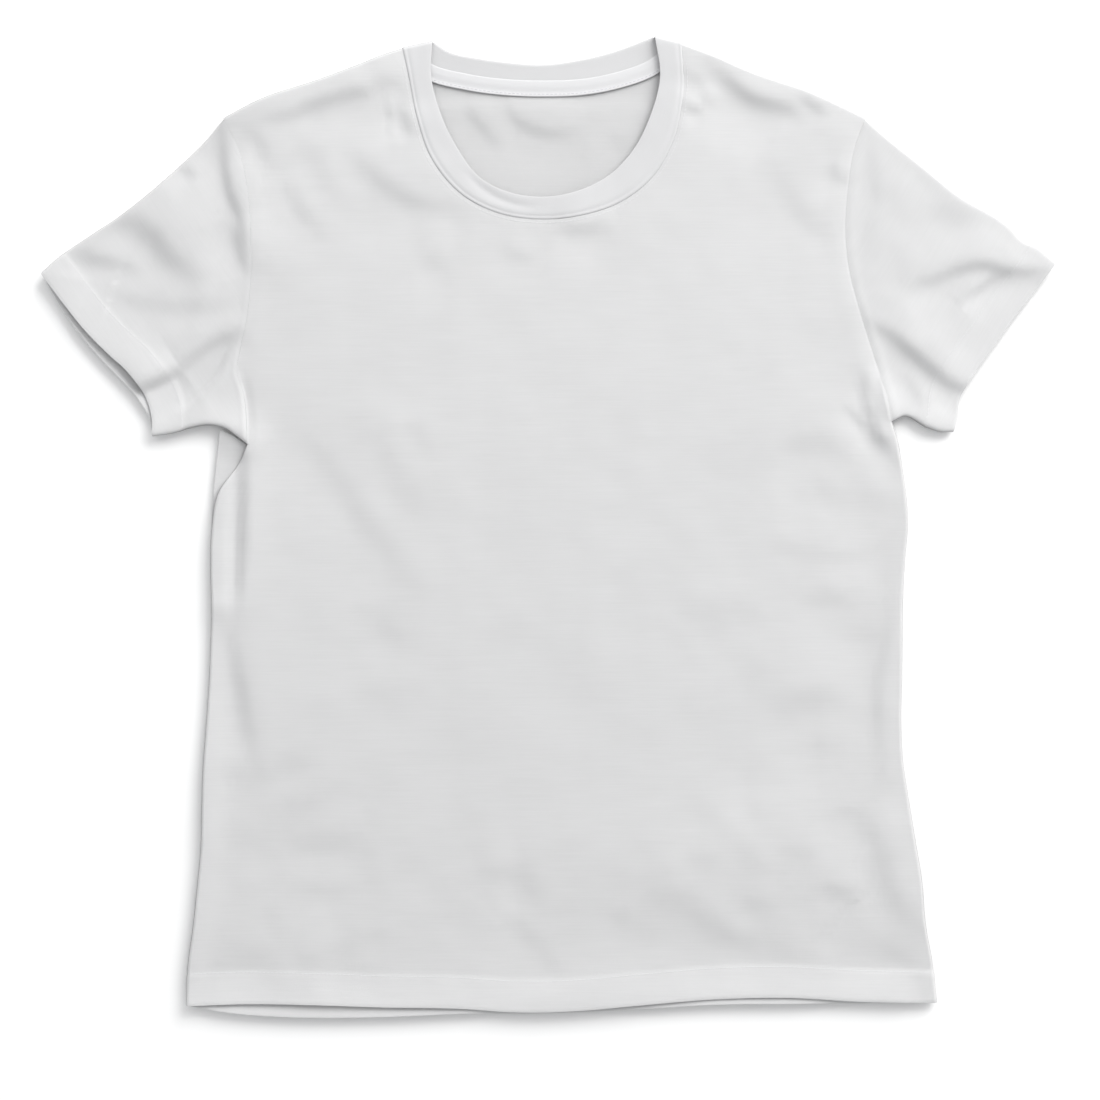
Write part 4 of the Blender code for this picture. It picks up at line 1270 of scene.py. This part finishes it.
def make_surroundings():
    """A white floor, soft light from the upper right, and a camera straight above."""
    bpy.ops.mesh.primitive_plane_add(size=FLOOR_SIZE, location=(0, 0, FLOOR_HEIGHT))
    floor = bpy.context.object
    floor.name = "floor"
    floor.data.materials.append(floor_material())
    for light in LIGHTS:
        make_area_light(*light)
    world = bpy.data.worlds.new("soft_room")
    world.use_nodes = True
    glow = world.node_tree.nodes["Background"].inputs
    glow["Color"].default_value = (*ROOM, 1.0)
    glow["Strength"].default_value = ROOM_STRENGTH
    scene = bpy.context.scene
    scene.world = world
    scene.view_settings.view_transform = "Standard"

    camera = bpy.data.cameras.new("camera")
    camera.lens = LENS
    camera.sensor_width = SENSOR
    viewer = bpy.data.objects.new("camera", camera)
    distance = FRAME_WIDTH * LENS / SENSOR
    viewer.location = Vector((*FRAME_CENTRE, distance + FRAME_HEIGHT)) * MM
    bpy.context.collection.objects.link(viewer)
    scene.camera = viewer


def main():
    """Builds every piece and the scene, and hides the solid that each piece takes the place of."""
    jersey = cloth_material("jersey_white", WHITE_JERSEY, *JERSEY_KNIT)
    # Sleeve jersey painted a little lighter than the body's: painted light.
    sleeve_jersey_painted_light = cloth_material("jersey_sleeve_painted_light", WHITE_SLEEVE_PAINTED_LIGHT, *SLEEVE_KNIT)
    rib = cloth_material("rib_white", WHITE_RIB, *RIB_KNIT)
    tape = cloth_material("tape_white", WHITE_TAPE, *TAPE_KNIT)
    thread = thread_material("thread", THREAD)
    # Tape thread painted darker: painted shade of the sunk stitches.
    tape_thread_painted_shade = thread_material("thread_tape_painted_shade", TAPE_THREAD_PAINTED_SHADE)

    back = make_back(jersey)
    front = make_front(jersey)
    left = make_sleeve(
        "cloth_sleeve_left", LEFT_ARMHOLE, LEFT_CUFF, LEFT_CUFF_UNDER,
        LEFT_UNDERARM, LEFT_OVERARM, 1, LEFT_SLEEVE_SEAM, sleeve_jersey_painted_light,
    )
    right = make_sleeve(
        "cloth_sleeve_right", RIGHT_ARMHOLE, RIGHT_CUFF, RIGHT_CUFF,
        RIGHT_UNDERARM, RIGHT_OVERARM, -1, RIGHT_SLEEVE_SEAM, sleeve_jersey_painted_light,
    )
    band = make_neck_band(rib)
    neck_tape = make_neck_tape(tape)
    sewing = make_sewing(back, front, left, right, neck_tape, thread, tape_thread_painted_shade)

    for piece, node, slot, cut, area, under in (
        (back, "back_panel", "jersey", (0.497, 0.646), 0.277, "ground"),
        (front, "front_panel", "jersey", (0.496, 0.643), 0.263, "back_panel"),
        (left, "sleeve_left", "jersey", (0.350, 0.173), 0.0355, "ground"),
        (right, "sleeve_right", "jersey", (0.300, 0.172), 0.0321, "ground"),
        (band, "neck_band", "rib", (0.490, 0.0195), None, "ground"),
        (neck_tape, "neck_tape", "tape", (0.176, 0.0108), None, "neck_band"),
    ):
        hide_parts(node)

    make_surroundings()


main()
